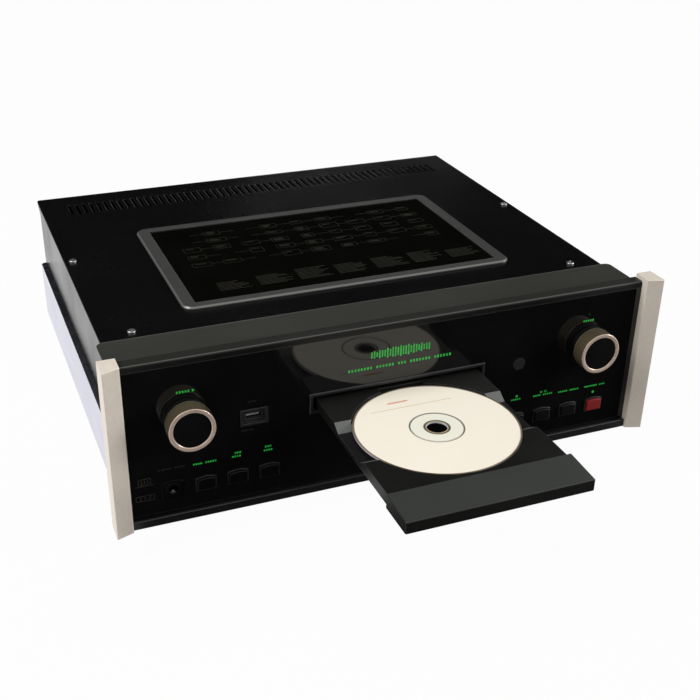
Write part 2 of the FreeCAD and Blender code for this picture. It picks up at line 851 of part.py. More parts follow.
def usb_socket():
    """A pressed shell, open at the front, and the tongue in its upper half."""
    y = ("glass_thick", "board_front")
    wide, tall = "usb_mouth_width", "usb_mouth_tall"
    inside = ("0", f"{y[1]} - usb_tongue_thick")
    outside = about("usb_height", f"{tall} + 2 * usb_shell")
    shell = box(about("-usb_side", f"{wide} + 2 * usb_shell"), y, outside)
    cavity = box(about("-usb_side", wide), inside, about("usb_height", tall))
    top = "usb_height + usb_mouth_tall / 2 - usb_shell"
    tongue_run = ("glass_thick + usb_shell", inside[1])
    tongue_level = (f"{top} - usb_tongue_thick", top)
    tongue = box(about("-usb_side", f"{wide} - 2 * usb_shell"), tongue_run, tongue_level)
    return fuse(cut(shell, cavity), tongue)


def headphone_jack():
    """The framed socket at the end of the row of buttons, bored for a 6.35 mm plug."""
    mouth = "(-2 * jack_proud)"
    frame = arched(JACK_SIDE, ("-jack_proud", "0"), "jack_frame_width", "jack_frame_tall")
    nut = round_hole(JACK_SIDE, "button_height", "jack_nut_radius", (mouth, "-jack_proud"))
    bushing = round_hole(JACK_SIDE, "button_height", "jack_bushing_radius", ("-jack_proud", "subframe_back"))
    body_run = ("subframe_back", f"{mouth} + jack_depth + jack_end_wall")
    body = box(about(JACK_SIDE, "jack_body_size"), body_run, about("button_height", "jack_body_size"))
    bore = round_hole(JACK_SIDE, "button_height", "jack_bore_radius", (mouth, f"{mouth} + jack_depth"))
    return cut(fuse(frame, nut, bushing, body), bore)


# ---------------------------------------------------------------- casing


def bottom_chassis():
    """The folded lower tray of the casing, with a ledge that the cover stands on."""
    half = "chassis_width / 2"
    outer = box(sides(half), ("cap_back", "chassis_depth"), ("chassis_bottom", "ledge_height"))
    run = ("cap_back - 1", "chassis_depth + 1")
    inside = box(sides(f"{half} - sheet_thick"), run, ("chassis_floor", "ledge_height - sheet_thick"))
    between = box(sides(f"{half} - ledge_width"), run, ("chassis_floor", "ledge_height + 1"))
    front = box(
        sides(f"{half} - sheet_thick"),
        ("cap_back - 1", "subframe_back"),
        ("chassis_floor", "ledge_height + 1"),
    )
    return cut(outer, fuse(inside, between, front))


def screw_places():
    spots = []
    for side, back in (("screw_front_side", "screw_front_back"), ("screw_rear_side", "screw_rear_back")):
        spots += [(side, back), (f"-{side}", back)]
    return spots


def window_opening(seat):
    """Half-width and front-to-back run of the window, less a seat all round."""
    half = f"window_width / 2 - window_side_rim - {seat}"
    start = f"window_front + window_end_rim + {seat}"
    end = f"window_front + window_length - window_end_rim - {seat}"
    return half, start, end


def top_cover():
    """Roof and sides in one sheet, with a visor over the sockets at the back."""
    body = doc.addObject("PartDesign::Body", "Cover")
    outline = [
        ("cap_back", "ledge_height"),
        ("chassis_depth", "ledge_height"),
        ("chassis_depth", "cover_top - visor_drop"),
        ("chassis_depth + visor_depth", "cover_top"),
        ("cap_back", "cover_top"),
    ]
    padded(body, profile(body, "YZ_Plane", outline), "cover_width", symmetric=True)
    low, high = "ledge_height - 1", "cover_under"
    start, end = "cap_back - 1", "chassis_depth + visor_depth + 1"
    inside = [(start, low), (end, low), (end, high), (start, high)]
    pocketed(body, profile(body, "YZ_Plane", inside), "cover_width - 2 * sheet_thick", symmetric=True)
    half, start, end = window_opening("window_seat")
    over = "cover_top + 1"
    window = [(f"-({half})", start), (half, start), (half, end), (f"-({half})", end)]
    pocketed(body, profile(body, "XY_Plane", window, over), "sheet_thick + 2")
    notch = [
        ("-cover_inner", "cap_back - 1"),
        ("cover_inner", "cap_back - 1"),
        ("cover_inner", "subframe_back"),
        ("-cover_inner", "subframe_back"),
    ]
    pocketed(body, profile(body, "XY_Plane", notch, over), "sheet_thick + 2")
    left = "-slot_pitch * (slot_count - 1) / 2 - slot_width / 2"
    back = "slot_row_back"
    slot = [
        (left, f"{back} - slot_length"),
        (f"{left} + slot_width", f"{back} - slot_length"),
        (f"{left} + slot_width", back),
        (left, back),
    ]
    first = pocketed(body, profile(body, "XY_Plane", slot, over), "sheet_thick + 2")
    axes = {f.Role: f for f in body.Origin.OriginFeatures}
    pattern = body.newObject("PartDesign::LinearPattern", "AirSlots")
    pattern.Originals = [first]
    pattern.Direction = (axes["X_Axis"], [""])
    pattern.Mode = "Spacing"
    bind(pattern, "Offset", "slot_pitch")
    bind(pattern, "Occurrences", "slot_count")
    pattern.Direction2 = (axes["Y_Axis"], [""])
    pattern.Reversed2 = True
    pattern.Mode2 = "Spacing"
    bind(pattern, "Offset2", "slot_row_pitch")
    pattern.Occurrences2 = 2
    body.Tip = pattern
    doc.recompute()
    holes = [
        rod("z", x, y, "cover_under - 1", "screw_radius", "sheet_thick + 2") for x, y in screw_places()
    ]
    pierced = cut(body, *holes)

    def shoulders(edge):
        mid = edge.CenterOfMass
        return along(edge, "y") and near(abs(mid.x), "cover_width / 2") and near(mid.z, "cover_top")

    return soften(pierced, "cover_round", shoulders)


def window_bezel():
    """The raised frame round the window, rounded at its corners and bevelled on top."""
    run = ("window_front", "window_front + window_length")
    slab = box(sides("window_width / 2"), run, ("cover_top", "cover_top + window_rise"))
    slab = soften(slab, "window_corner", lambda edge: along(edge, "z"))

    def top_edges(edge):
        return near(edge.CenterOfMass.z, "cover_top + window_rise")

    slab = soften(slab, "window_bevel", top_edges, "Part::Chamfer")
    half, start, end = window_opening("0")
    return cut(slab, box(sides(half), (start, end), ("cover_top - 1", "cover_top + window_rise + 1")))


def window_glass():
    half, start, end = window_opening("0")
    return group(box(sides(half), (start, end), ("cover_top", "cover_top + window_glass_thick")))


def cover_screws():
    """Four button-head screws with hexagon sockets."""
    screws = []
    for x, y in screw_places():
        head = rod("z", x, y, "cover_top", "screw_head_radius", "screw_head_height")

        def crest(edge):
            return near(edge.CenterOfMass.z, "cover_top + screw_head_height")

        domed = soften(head, "screw_head_height / 2", crest)
        shank = rod("z", x, y, "cover_top - screw_length", "screw_radius", "screw_length")
        socket = doc.addObject("Part::Prism", "Socket")
        socket.Polygon = 6
        bind(socket, "Circumradius", "screw_radius")
        bind(socket, "Height", "screw_head_height")
        put(socket, x, y, "cover_top + screw_head_height / 3")
        screws.append(cut(fuse(domed, shank), socket))
    return group(*screws)


def foot_places():
    spots = []
    for y in ("foot_front", "foot_rear"):
        spots += [("foot_side", y), ("-foot_side", y)]
    return spots


def feet():
    """Tapered feet screwed under the chassis."""
    tall = "chassis_bottom - pad_thick"
    narrow = "foot_radius - foot_taper"
    return group(*[taper("z", x, y, "pad_thick", narrow, "foot_radius", tall) for x, y in foot_places()])


def foot_pads():
    """The rubber pads that the feet stand on."""
    return group(*[rod("z", x, y, "0", "pad_radius", "pad_thick") for x, y in foot_places()])


# ---------------------------------------------------------------- tray and disc


def disc_axis(start, radius, length):
    """A round bar on the axis of the disc, where the tray holds it."""
    return rod("z", "0", "-disc_centre_out", start, radius, length)


def scoop(offset):
    """The finger room beside the disc, sloped at both ends."""
    body = doc.addObject("PartDesign::Body", "Scoop")
    rear = "(-disc_centre_out + scoop_behind_disc)"
    front = f"({rear} - scoop_length)"
    outline = [
        (rear, "tray_deck"),
        (f"{rear} - scoop_ramp", "scoop_floor"),
        (f"{front} + scoop_ramp", "scoop_floor"),
        (front, "tray_deck"),
        (front, "tray_deck + 1"),
        (rear, "tray_deck + 1"),
    ]
    sketch = profile(body, "YZ_Plane", outline, offset)
    padded(body, sketch, "tray_width / 2 + 1 - scoop_inner")
    return body


def rack_teeth():
    """Straight-sided teeth along the inner face of the tray's left wall."""
    pitch = pi * worth("gear_module")
    line = worth("rack_line")
    root = worth("rack_line - gear_module * 1.75")
    tip = worth("rack_line + gear_module")
    low, high = worth("tray_bottom"), worth("tray_side_ceiling + sliding_gap")
    slope = tan(radians(20))
    root_half = pitch / 4 - worth("gear_slack") - (root - line) * slope
    tip_half = pitch / 4 - worth("gear_slack") - (tip - line) * slope
    corners = [(root, root_half), (tip, tip_half), (tip, -tip_half), (root, -root_half), (root, root_half)]
    teeth = []
    for k in range(-int(worth("tray_travel") / pitch) - 2, 2):
        middle = worth("gear_back") + (k + 0.5) * pitch
        outline = Part.makePolygon([FreeCAD.Vector(x, middle + dy, low) for x, dy in corners])
        teeth.append(Part.Face(outline).extrude(FreeCAD.Vector(0, 0, high - low)))
    obj = doc.addObject("Part::Feature", "RackTeeth")
    obj.Shape = Part.makeCompound(teeth)
    return obj


def disc_tray():
    """The moulded drawer: hollow below and open behind, recessed for both disc sizes,
    with the rack on its left."""
    run = ("fascia_back_out", "tray_inside")
    slab = box(sides("tray_width / 2"), run, ("tray_bottom", "tray_deck"))
    within = (f"{run[0]} + tray_wall", f"{run[1]} + 1")
    below = "tray_bottom - 1"
    middle = box(sides("scoop_inner - 2 * tray_wall"), within, (below, "tray_ceiling"))
    edges = box(sides("tray_width / 2 - tray_wall"), within, (below, "tray_side_ceiling"))
    hollow = cut(slab, fuse(middle, edges))
    racked = fuse(hollow, rack_teeth())
    recess = disc_axis("disc_seat", "disc_recess_radius", "disc_recess_depth + 1")
    small = disc_axis("disc_seat - small_recess_depth", "small_recess_radius", "small_recess_depth + 1")
    hub = disc_axis(below, "hub_hole_radius", "tray_deck - tray_bottom + 2")
    reach = ("-disc_centre_out", "-disc_centre_out + pickup_slot_reach")
    way = box(about("0", "pickup_slot_width"), reach, (below, "tray_deck + 1"))
    scoops = [scoop("scoop_inner"), scoop("-tray_width / 2 - 1")]
    return cut(racked, fuse(recess, small, hub, way, *scoops))


def tray_front():
    """The wedge across the front of the tray, thicker towards the disc."""
    body = doc.addObject("PartDesign::Body", "TrayFront")
    outline = [
        ("fascia_front_out", "tray_bottom"),
        ("fascia_back_out", "tray_bottom"),
        ("fascia_back_out", "fascia_rear_top"),
        ("fascia_front_out", "fascia_front_top"),
    ]
    padded(body, profile(body, "YZ_Plane", outline), "fascia_width", symmetric=True)

    def outer(edge):
        mid = edge.CenterOfMass
        return mid.y < worth("fascia_back_out - 0.1") and mid.z > worth("tray_bottom + 0.1")

    return soften(body, "fascia_bevel", outer, "Part::Chamfer")


def disc():
    """A 120 mm disc with the shallow stacking ring round its hub."""
    plate = disc_axis("disc_seat", "disc_radius", "disc_thick")
    hole = disc_axis("disc_seat - 1", "disc_hole_radius", "disc_thick + 2")
    ring_floor = "disc_seat + disc_thick - disc_ring_depth"
    outer = disc_axis(ring_floor, "disc_ring_radius + disc_ring_width / 2", "disc_thick")
    inner = disc_axis(f"{ring_floor} - 1", "disc_ring_radius - disc_ring_width / 2", "disc_thick + 2")
    return cut(plate, hole, cut(outer, inner))


# ---------------------------------------------------------------- loader


def gear_outline():
    """Points round an involute gear, one tooth after the next."""
    module, teeth = worth("gear_module"), int(worth("gear_teeth"))
    pitch = module * teeth / 2
    base = pitch * cos(radians(20))
    root, tip = pitch - 1.25 * module, pitch + module
    start = max(root, base)
    inv = lambda angle: tan(angle) - angle
    half_pitch = pi / (2 * teeth) - worth("gear_slack") / pitch + inv(radians(20))
    flank = [(root, half_pitch)] if root < base else []
    for step in range(5):
        radius = start + (tip - start) * step / 4
        flank.append((radius, half_pitch - inv(acos(min(1, base / radius)))))
    points = []
    for tooth in range(teeth):
        middle = pi + tooth * 2 * pi / teeth
        for radius, half in flank:
            points.append((radius, middle - half))
        for radius, half in reversed(flank):
            points.append((radius, middle + half))
    return [FreeCAD.Vector(radius * cos(a), radius * sin(a), 0) for radius, a in points]


def loading_gear():
    """The gear that drives the tray's rack, on a shaft that enters its motor."""
    points = gear_outline()
    face = Part.Face(Part.makePolygon(points + points[:1]))
    wheel = doc.addObject("Part::Feature", "Wheel")
    wheel.Shape = face.extrude(FreeCAD.Vector(0, 0, worth("gear_thick")))
    put(wheel, "gear_side", "gear_back", "gear_bottom")
    foot = "gear_bottom - gear_shaft_length"
    shaft = rod("z", "gear_side", "gear_back", foot, "gear_shaft_radius", "gear_shaft_length")
    return fuse(wheel, shaft)


def loading_motor():
    top = "(tray_bottom - 2 * sliding_gap - loader_ledge_thick)"
    case = rod("z", "gear_side", "gear_back", "loader_deck", "loading_motor_radius", f"{top} - loader_deck")
    foot = "(gear_bottom - gear_shaft_length - sliding_gap)"
    bore = rod(
        "z", "gear_side", "gear_back", foot, "gear_shaft_radius + running_gap", f"{top} + 1 - {foot}"
    )
    return cut(case, bore)


def guide_post_places():
    spots = []
    for y in ("traverse_front + guide_post_inset", "traverse_back - guide_post_inset"):
        x = "(traverse_width / 2 - guide_post_inset)"
        spots += [(x, y), (f"-{x}", y)]
    return spots


def loader_frame():
    """The fixed frame: floor, side walls, the ledges and tabs that guide the tray,
    and the posts that the traverse rises on."""
    run = ("loader_front", "loader_back")
    floor = box(sides("loader_outer"), run, ("loader_floor", "loader_deck"))
    hole_half = "traverse_width / 2 - traverse_rim - guide_post_inset"
    hole_run = (
        "traverse_front + traverse_rim + guide_post_inset",
        "traverse_back - traverse_rim - guide_post_inset",
    )
    floor = cut(floor, box(sides(hole_half), hole_run, ("loader_floor - 1", "loader_deck + 1")))
    pieces = [floor]
    ledge_top = "(tray_bottom - sliding_gap)"
    for sign in ("", "-"):
        near_x, far_x = f"{sign}loader_inner", f"{sign}loader_outer"
        lip_x = f"{sign}(loader_inner - loader_ledge)"
        tab_x = f"{sign}(loader_inner - loader_ledge / 2)"
        order = (lambda a, b: (b, a)) if sign else (lambda a, b: (a, b))
        pieces.append(box(order(near_x, far_x), run, ("loader_deck", "loader_top")))
        pieces.append(box(order(lip_x, near_x), run, (f"{ledge_top} - loader_ledge_thick", ledge_top)))
        tab_run = ("gear_back + 2 * pitch_radius", "gear_back + 4 * pitch_radius")
        pieces.append(box(order(tab_x, near_x), tab_run, ("tray_deck + sliding_gap", "loader_top")))
    for side in ("loader_outer - standoff_radius", "-(loader_outer - standoff_radius)"):
        for back in ("loader_front + standoff_radius", "loader_back - standoff_radius"):
            tall = "loader_floor - chassis_floor"
            pieces.append(rod("z", side, back, "chassis_floor", "standoff_radius", tall))
    for x, y in guide_post_places():
        pieces.append(rod("z", x, y, "loader_deck", "guide_post_radius", "guide_post_height"))
        pieces.append(
            rod("z", x, y, "loader_deck", "2 * guide_post_radius", "traverse_bottom - loader_deck")
        )
    return fuse(*pieces)


def clamp_bridge():
    """The strap across the loader that the clamping puck hangs in."""
    run = about("spindle_back", "bridge_length")
    strap = box(sides("loader_outer"), run, ("loader_top", "loader_top + bridge_thick"))
    hole = rod(
        "z", "0", "spindle_back", "loader_top - 1", "clamp_neck_radius + clamp_hole_gap", "bridge_thick + 2"
    )
    return cut(strap, hole)


def disc_clamper():
    """The puck that presses the disc onto the turntable; it turns with the disc."""
    low = "(turntable_top + traverse_lift + hub_height + clamp_gap)"
    flange_low = "(loader_top + bridge_thick + clamp_gap)"
    pad = rod("z", "0", "spindle_back", low, "clamp_radius", "clamp_thick")
    neck = rod("z", "0", "spindle_back", low, "clamp_neck_radius", f"{flange_low} - {low}")
    flange = rod("z", "0", "spindle_back", flange_low, "clamp_flange_radius", "clamp_thick")
    return fuse(pad, neck, flange)


# ---------------------------------------------------------------- traverse

ROD_SIDES = ("rod_side", "-rod_side")


def traverse_frame():
    """The plate that lifts the spindle and the pickup up to the disc."""
    run = ("traverse_front", "traverse_back")
    plate = box(about("0", "traverse_width"), run, ("traverse_bottom", "traverse_top"))
    blocks = []
    for x in ROD_SIDES:
        for start in ("rod_front", "rod_front + rod_length - rod_block"):
            block = box(
                about(x, "rod_block"),
                (start, f"{start} + rod_block"),
                ("traverse_top", "rod_level + rod_block / 2"),
            )
            blocks.append(block)
    window_run = (
        "spindle_back + spindle_motor_radius + rod_block", "rod_front + rod_length - 2 * rod_block"
    )
    window = box(sides("rod_side - rod_block"), window_run, ("traverse_bottom - 1", "traverse_top + 1"))
    holes = []
    for x, y in guide_post_places():
        holes.append(
            rod("z", x, y, "traverse_bottom - 1", "guide_post_radius + running_gap", "traverse_thick + 2")
        )
    return cut(fuse(plate, *blocks), window, *holes, *rods_in_place())


def rods_in_place():
    return [rod("y", x, "rod_front", "rod_level", "rod_radius", "rod_length") for x in ROD_SIDES]


def guide_rods():
    """The two polished rods that the pickup slides on."""
    return group(*rods_in_place())


def spindle_motor():
    case = rod("z", "0", "spindle_back", "traverse_top", "spindle_motor_radius", "spindle_motor_height")
    foot = "traverse_top + spindle_motor_height / 4"
    bore = rod("z", "0", "spindle_back", foot, "spindle_radius + running_gap", "spindle_motor_height")
    return cut(case, bore)


def turntable():
    """The small table under the disc's hub, its centring boss and its spindle."""
    plate = rod(
        "z", "0", "spindle_back", "turntable_top - turntable_thick", "turntable_radius", "turntable_thick"
    )
    boss = taper("z", "0", "spindle_back", "turntable_top", "hub_radius", "hub_radius * 0.8", "hub_height")
    foot = "traverse_top + spindle_motor_height / 4 + sliding_gap"
    spindle = rod("z", "0", "spindle_back", foot, "spindle_radius", f"turntable_top - ({foot})")
    return fuse(plate, boss, spindle)


def pickup_unit():
    """The laser carriage on its two rods, with the lens turret on top."""
    lens = "(spindle_back + pickup_start)"
    run = (f"{lens} - 2 * lens_radius", f"{lens} - 2 * lens_radius + pickup_length")
    z = about("rod_level", "pickup_thick")
    carriage = box(about("0", "pickup_width"), run, z)
    lens_top = "(disc_seat - traverse_lift - lens_gap)"
    turret = rod("z", "0", lens, z[1], "lens_radius", f"{lens_top} - ({z[1]})")
    bores = []
    for x in ROD_SIDES:
        bores.append(
            rod("y", x, f"{run[0]} - 1", "rod_level", "rod_radius + running_gap", "pickup_length + 2")
        )
    return cut(fuse(carriage, turret), *bores)


# ---------------------------------------------------------------- electronics


def board_posts(x, y, top):
    posts = []
    inset = "2 * board_post_radius"
    for px in (f"{x[0]} + {inset}", f"{x[1]} - {inset}"):
        for py in (f"{y[0]} + {inset}", f"{y[1]} - {inset}"):
            posts.append(rod("z", px, py, "chassis_floor", "board_post_radius", f"{top} - chassis_floor"))
    return posts


def main_board():
    """The signal board on its posts, with its larger parts."""
    x = about("main_board_side", "main_board_width")
    y = ("main_board_front", "main_board_front + main_board_length")
    top = "(main_board_height + board_thick)"
    pieces = board_posts(x, y, "main_board_height")
    pieces.append(box(x, y, ("main_board_height", top)))
    chip_x = about("main_board_side - chip_offset", "chip_size")
    capacitor_x = "main_board_side + capacitor_offset"
    for quarter in (1, 2, 3):
        middle = f"main_board_front + main_board_length * {quarter} / 4"
        pieces.append(box(chip_x, about(middle, "chip_size"), (top, f"{top} + chip_tall")))
        pieces.append(rod("z", capacitor_x, middle, top, "capacitor_radius", "capacitor_tall"))
    return fuse(*pieces)


def power_transformer():
    """A ring-core transformer bolted to the chassis floor."""
    case = rod(
        "z",
        "-transformer_side",
        "transformer_back",
        "chassis_floor",
        "transformer_radius",
        "transformer_tall",
    )

    def rims(edge):
        return edge.Curve.TypeId == "Part::GeomCircle"

    ring = soften(case, "transformer_radius / 5", rims)
    hole_start = "chassis_floor + transformer_tall / 3"
    hole = rod(
        "z", "-transformer_side", "transformer_back", hole_start, "transformer_hole", "transformer_tall"
    )
    return cut(ring, hole)


# ---------------------------------------------------------------- rear panel


def rca_places():
    count = int(worth("rca_count"))
    return [f"(rca_first + {k} * rca_pitch)" for k in range(count)]


def xlr_places():
    return ["xlr_first", "(xlr_first + xlr_pitch)"]


def rear_panel():
    """The flat back, pierced for each socket, under the cover's visor."""
    y = ("chassis_depth", "rear_face")
    low = box(sides("chassis_width / 2 - sheet_thick"), y, ("chassis_bottom", "ledge_height"))
    plate = fuse(low, box(sides("cover_inner"), y, ("ledge_height", "cover_under")))
    through = (f"{y[0]} - 1", f"{y[1]} + 1")
    holes = [round_hole(x, "rca_height", "rca_radius", through) for x in rca_places()]
    holes += [round_hole(x, "xlr_height", "xlr_shell_radius", through) for x in xlr_places()]
    wide = "inlet_mouth_width + 2 * inlet_wall"
    tall = "inlet_mouth_tall + 2 * inlet_wall"
    holes.append(box(about("inlet_side", wide), through, about("inlet_height", tall)))
    return cut(plate, *holes)


def rca_jacks():
    """Phono sockets: a flange on the panel, a barrel outside and a tail inside."""
    jacks = []
    for x in rca_places():
        flange = round_hole(
            x, "rca_height", "rca_flange_radius", ("rear_face", "rear_face + rca_flange_thick")
        )
        outer = "rear_face + rca_flange_thick + rca_length"
        barrel = round_hole(x, "rca_height", "rca_radius", ("chassis_depth - rca_length", outer))
        bore = round_hole(x, "rca_height", "rca_bore_radius", ("rear_face", f"{outer} + 1"))
        jacks.append(cut(fuse(flange, barrel), bore))
    return group(*jacks)


def xlr_sockets():
    """Balanced outputs: a square plate, a round shell set into the panel and three pins."""
    sockets = []
    outer = "rear_face + xlr_plate_thick"
    for x in xlr_places():
        plate = box(
            about(x, "xlr_plate_width"), ("rear_face", outer), about("xlr_height", "xlr_plate_tall")
        )
        shell = round_hole(x, "xlr_height", "xlr_shell_radius", (f"{outer} - xlr_depth - xlr_wall", outer))
        cavity = round_hole(
            x, "xlr_height", "xlr_shell_radius - xlr_wall", (f"{outer} - xlr_depth", f"{outer} + 1")
        )
        pins = []
        for turn in (90, 210, 330):
            px = f"{x} + xlr_pin_circle * {cos(radians(turn)):.4f}"
            pz = f"xlr_height + xlr_pin_circle * {sin(radians(turn)):.4f}"
            pin_y = f"{outer} - xlr_depth - xlr_wall"
            pins.append(rod("y", px, pin_y, pz, "xlr_pin_radius", "xlr_pin_length + xlr_wall"))
        sockets.append(fuse(cut(fuse(plate, shell), cavity), *pins))
    return group(*sockets)


def power_inlet():
    """The mains inlet: a flange, a rectangular cup and three flat pins."""
    outer = "rear_face + inlet_plate_thick"
    plate = box(
        about("inlet_side", "inlet_plate_width"), ("rear_face", outer), about(
            "inlet_height", "inlet_plate_tall"
        )
    )
    cup = box(
        about("inlet_side", "inlet_mouth_width + 2 * inlet_wall"),
        (f"{outer} - inlet_depth - inlet_wall", outer),
        about("inlet_height", "inlet_mouth_tall + 2 * inlet_wall"),
    )
    floor = f"{outer} - inlet_depth"
    cavity = box(
        about("inlet_side", "inlet_mouth_width"), (floor, f"{outer} + 1"), about(
            "inlet_height", "inlet_mouth_tall"
        )
    )
    pins = []
    for step, drop in ((-1, "-inlet_pin_drop"), (0, "inlet_pin_drop"), (1, "-inlet_pin_drop")):
        x = about(f"inlet_side + {step} * inlet_pin_pitch", "inlet_pin_thick")
        z = about(f"inlet_height + {drop}", "inlet_pin_width")
        pins.append(box(x, (f"{floor} - inlet_wall", f"{floor} + inlet_pin_length"), z))
    return fuse(cut(fuse(plate, cup), cavity), *pins)


# ---------------------------------------------------------------- assembly

for builder in (
    bottom_chassis,
    rear_panel,
    top_cover,
    window_bezel,
    window_glass,
    cover_screws,
    feet,
    foot_pads,
    front_subframe,
    front_top_rail,
    front_bottom_rail,
    front_glass,
    legend_light_panel,
    display_module,
    tray_slot_trim,
    ir_window,
    standby_led,
    button_bezels,
    button_switches,
    front_board,
    usb_bezel,
    usb_socket,
    headphone_jack,
    disc_tray,
    tray_front,
    disc,
    loader_frame,
    clamp_bridge,
    disc_clamper,
    loading_motor,
    loading_gear,
    traverse_frame,
    guide_rods,
    spindle_motor,
    turntable,
    pickup_unit,
    main_board,
    power_transformer,
    rca_jacks,
    xlr_sockets,
    power_inlet,
):
    subpart(builder(), builder.__name__)

subpart(end_cap(-1), "end_cap_left")
subpart(end_cap(1), "end_cap_right")
for name, side in KNOBS.items():
    subpart(knob(side), f"{name}_knob")
    subpart(knob_band(side), f"{name}_knob_band")
    subpart(knob_face(side), f"{name}_knob_face")
    subpart(knob_shaft(side), f"{name}_shaft")
    subpart(encoder(side), f"{name}_encoder")
for name, side in BUTTONS.items():
    subpart(button(side), name)

doc.recompute()
for obj in doc.Objects:
    if "Invalid" in obj.State or "Error" in obj.State:
        raise RuntimeError(f"{obj.Label} ({obj.Name}) did not build")
for part in SUBPARTS:
    if part.Shape.isNull() or not part.Shape.isValid():
        raise RuntimeError(f"{part.Label} has no valid shape")

os.makedirs("parts", exist_ok=True)
for part in SUBPARTS:
    part.Shape.exportStep(os.path.join("parts", f"{part.Label}.step"))
print(len(SUBPARTS), "sub-parts")
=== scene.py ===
import json
import math
import random

import bmesh
import bpy
from mathutils import Matrix, Vector


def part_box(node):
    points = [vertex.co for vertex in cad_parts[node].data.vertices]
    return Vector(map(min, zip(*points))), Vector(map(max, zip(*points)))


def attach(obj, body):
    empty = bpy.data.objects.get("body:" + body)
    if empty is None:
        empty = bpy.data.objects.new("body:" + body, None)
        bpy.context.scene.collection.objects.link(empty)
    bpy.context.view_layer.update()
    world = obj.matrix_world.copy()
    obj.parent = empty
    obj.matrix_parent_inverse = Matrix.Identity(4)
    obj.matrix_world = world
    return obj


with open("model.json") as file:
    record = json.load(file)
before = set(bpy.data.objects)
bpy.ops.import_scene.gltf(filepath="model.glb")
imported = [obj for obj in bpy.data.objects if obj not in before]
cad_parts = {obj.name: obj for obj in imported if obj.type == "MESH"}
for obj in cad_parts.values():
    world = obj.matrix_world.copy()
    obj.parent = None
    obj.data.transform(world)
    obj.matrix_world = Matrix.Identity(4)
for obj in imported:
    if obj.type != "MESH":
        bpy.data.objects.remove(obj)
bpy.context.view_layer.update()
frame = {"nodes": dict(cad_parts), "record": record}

MM = 0.001
UP = (0.0, 0.0, 1.0)
FORWARD = (0.0, -1.0, 0.0)
BLACK = (0.0, 0.0, 0.0, 1.0)
NODES = frame["nodes"]


# ---- places on the player

GLASS_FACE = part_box("front_glass")[0].y
REAR_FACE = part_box("rear_panel")[1].y
WINDOW_LOW, WINDOW_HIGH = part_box("window_glass")
DISC_LOW, DISC_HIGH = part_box("disc")
DISC_CENTRE = (DISC_LOW + DISC_HIGH) / 2
DISC_RADIUS = 0.060
KNOBS = {name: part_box(f"{name}_knob_band") for name in ("input", "level")}
PHONOS = [m for m in frame["record"]["mounts"] if m["name"].startswith("phono")]


def middle_mm(node):
    """The x and z of a node's middle, in millimetres."""
    low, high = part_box(node)
    return (low.x + high.x) / 2 / MM, (low.z + high.z) / 2 / MM


# ---- small helpers for node trees


def feed(tree, socket, source):
    """Joins a socket to an output, or sets its own value."""
    if isinstance(source, bpy.types.NodeSocket):
        tree.links.new(source, socket)
    elif source is not None:
        socket.default_value = source


def maths(tree, operation, first, second=None, third=None):
    made = tree.nodes.new("ShaderNodeMath")
    made.operation = operation
    for socket, source in zip(made.inputs, (first, second, third)):
        feed(tree, socket, source)
    return made.outputs[0]


def vector_maths(tree, operation, first, second=None, output=0):
    made = tree.nodes.new("ShaderNodeVectorMath")
    made.operation = operation
    for socket, source in zip(made.inputs, (first, second)):
        feed(tree, socket, source)
    return made.outputs[output]


def stretch_range(tree, value, low, high, new_low=0.0, new_high=1.0):
    """Maps low..high to new_low..new_high, held at both ends."""
    made = tree.nodes.new("ShaderNodeMapRange")
    for socket, source in zip(made.inputs, (value, low, high, new_low, new_high)):
        feed(tree, socket, source)
    return made.outputs["Result"]


def mix_colours(tree, share, first, second):
    """The first colour where share is 0, the second where it is 1."""
    made = tree.nodes.new("ShaderNodeMix")
    made.data_type = "RGBA"
    first_colour, second_colour = made.inputs[6], made.inputs[7]
    feed(tree, made.inputs["Factor"], share)
    feed(tree, first_colour, first)
    feed(tree, second_colour, second)
    return made.outputs[2]


def cloud(tree, place, scale, detail=3.0, roughness=0.55):
    made = tree.nodes.new("ShaderNodeTexNoise")
    feed(tree, made.inputs["Vector"], place)
    feed(tree, made.inputs["Scale"], scale)
    feed(tree, made.inputs["Detail"], detail)
    feed(tree, made.inputs["Roughness"], roughness)
    return made.outputs["Fac"]


def bumped(tree, height, depth, normal=None, strength=1.0):
    """The normal of a relief as deep as depth, laid over another normal if there is one."""
    made = tree.nodes.new("ShaderNodeBump")
    made.inputs["Strength"].default_value = strength
    made.inputs["Distance"].default_value = depth
    feed(tree, made.inputs["Height"], height)
    feed(tree, made.inputs["Normal"], normal)
    return made.outputs["Normal"]


def steps(tree, value, stops):
    """A colour ramp from (place, colour) stops."""
    made = tree.nodes.new("ShaderNodeValToRGB")
    feed(tree, made.inputs["Fac"], value)
    ramp = made.color_ramp.elements
    while len(ramp) < len(stops):
        ramp.new(0.5)
    for element, (place, colour) in zip(ramp, sorted(stops)):
        element.position = place
        element.color = colour
    return made.outputs["Color"]


def object_place(tree):
    return tree.nodes.new("ShaderNodeTexCoord").outputs["Object"]


def place_along_y(tree):
    parted = tree.nodes.new("ShaderNodeSeparateXYZ")
    feed(tree, parted.inputs[0], object_place(tree))
    return parted.outputs["Y"]


def facing(tree, axis):
    """How squarely a face looks along an axis: 1 for straight along it, -1 for straight back."""
    normal = tree.nodes.new("ShaderNodeNewGeometry").outputs["Normal"]
    return vector_maths(tree, "DOT_PRODUCT", normal, axis, "Value")


def rgb(red, green, blue):
    """A colour as it shows, 0 to 255, turned into the linear values that a shader takes."""

    def linear(value):
        share = value / 255
        return share / 12.92 if share <= 0.04045 else ((share + 0.055) / 1.055) ** 2.4

    return (linear(red), linear(green), linear(blue), 1.0)


# ---- shared surface effects


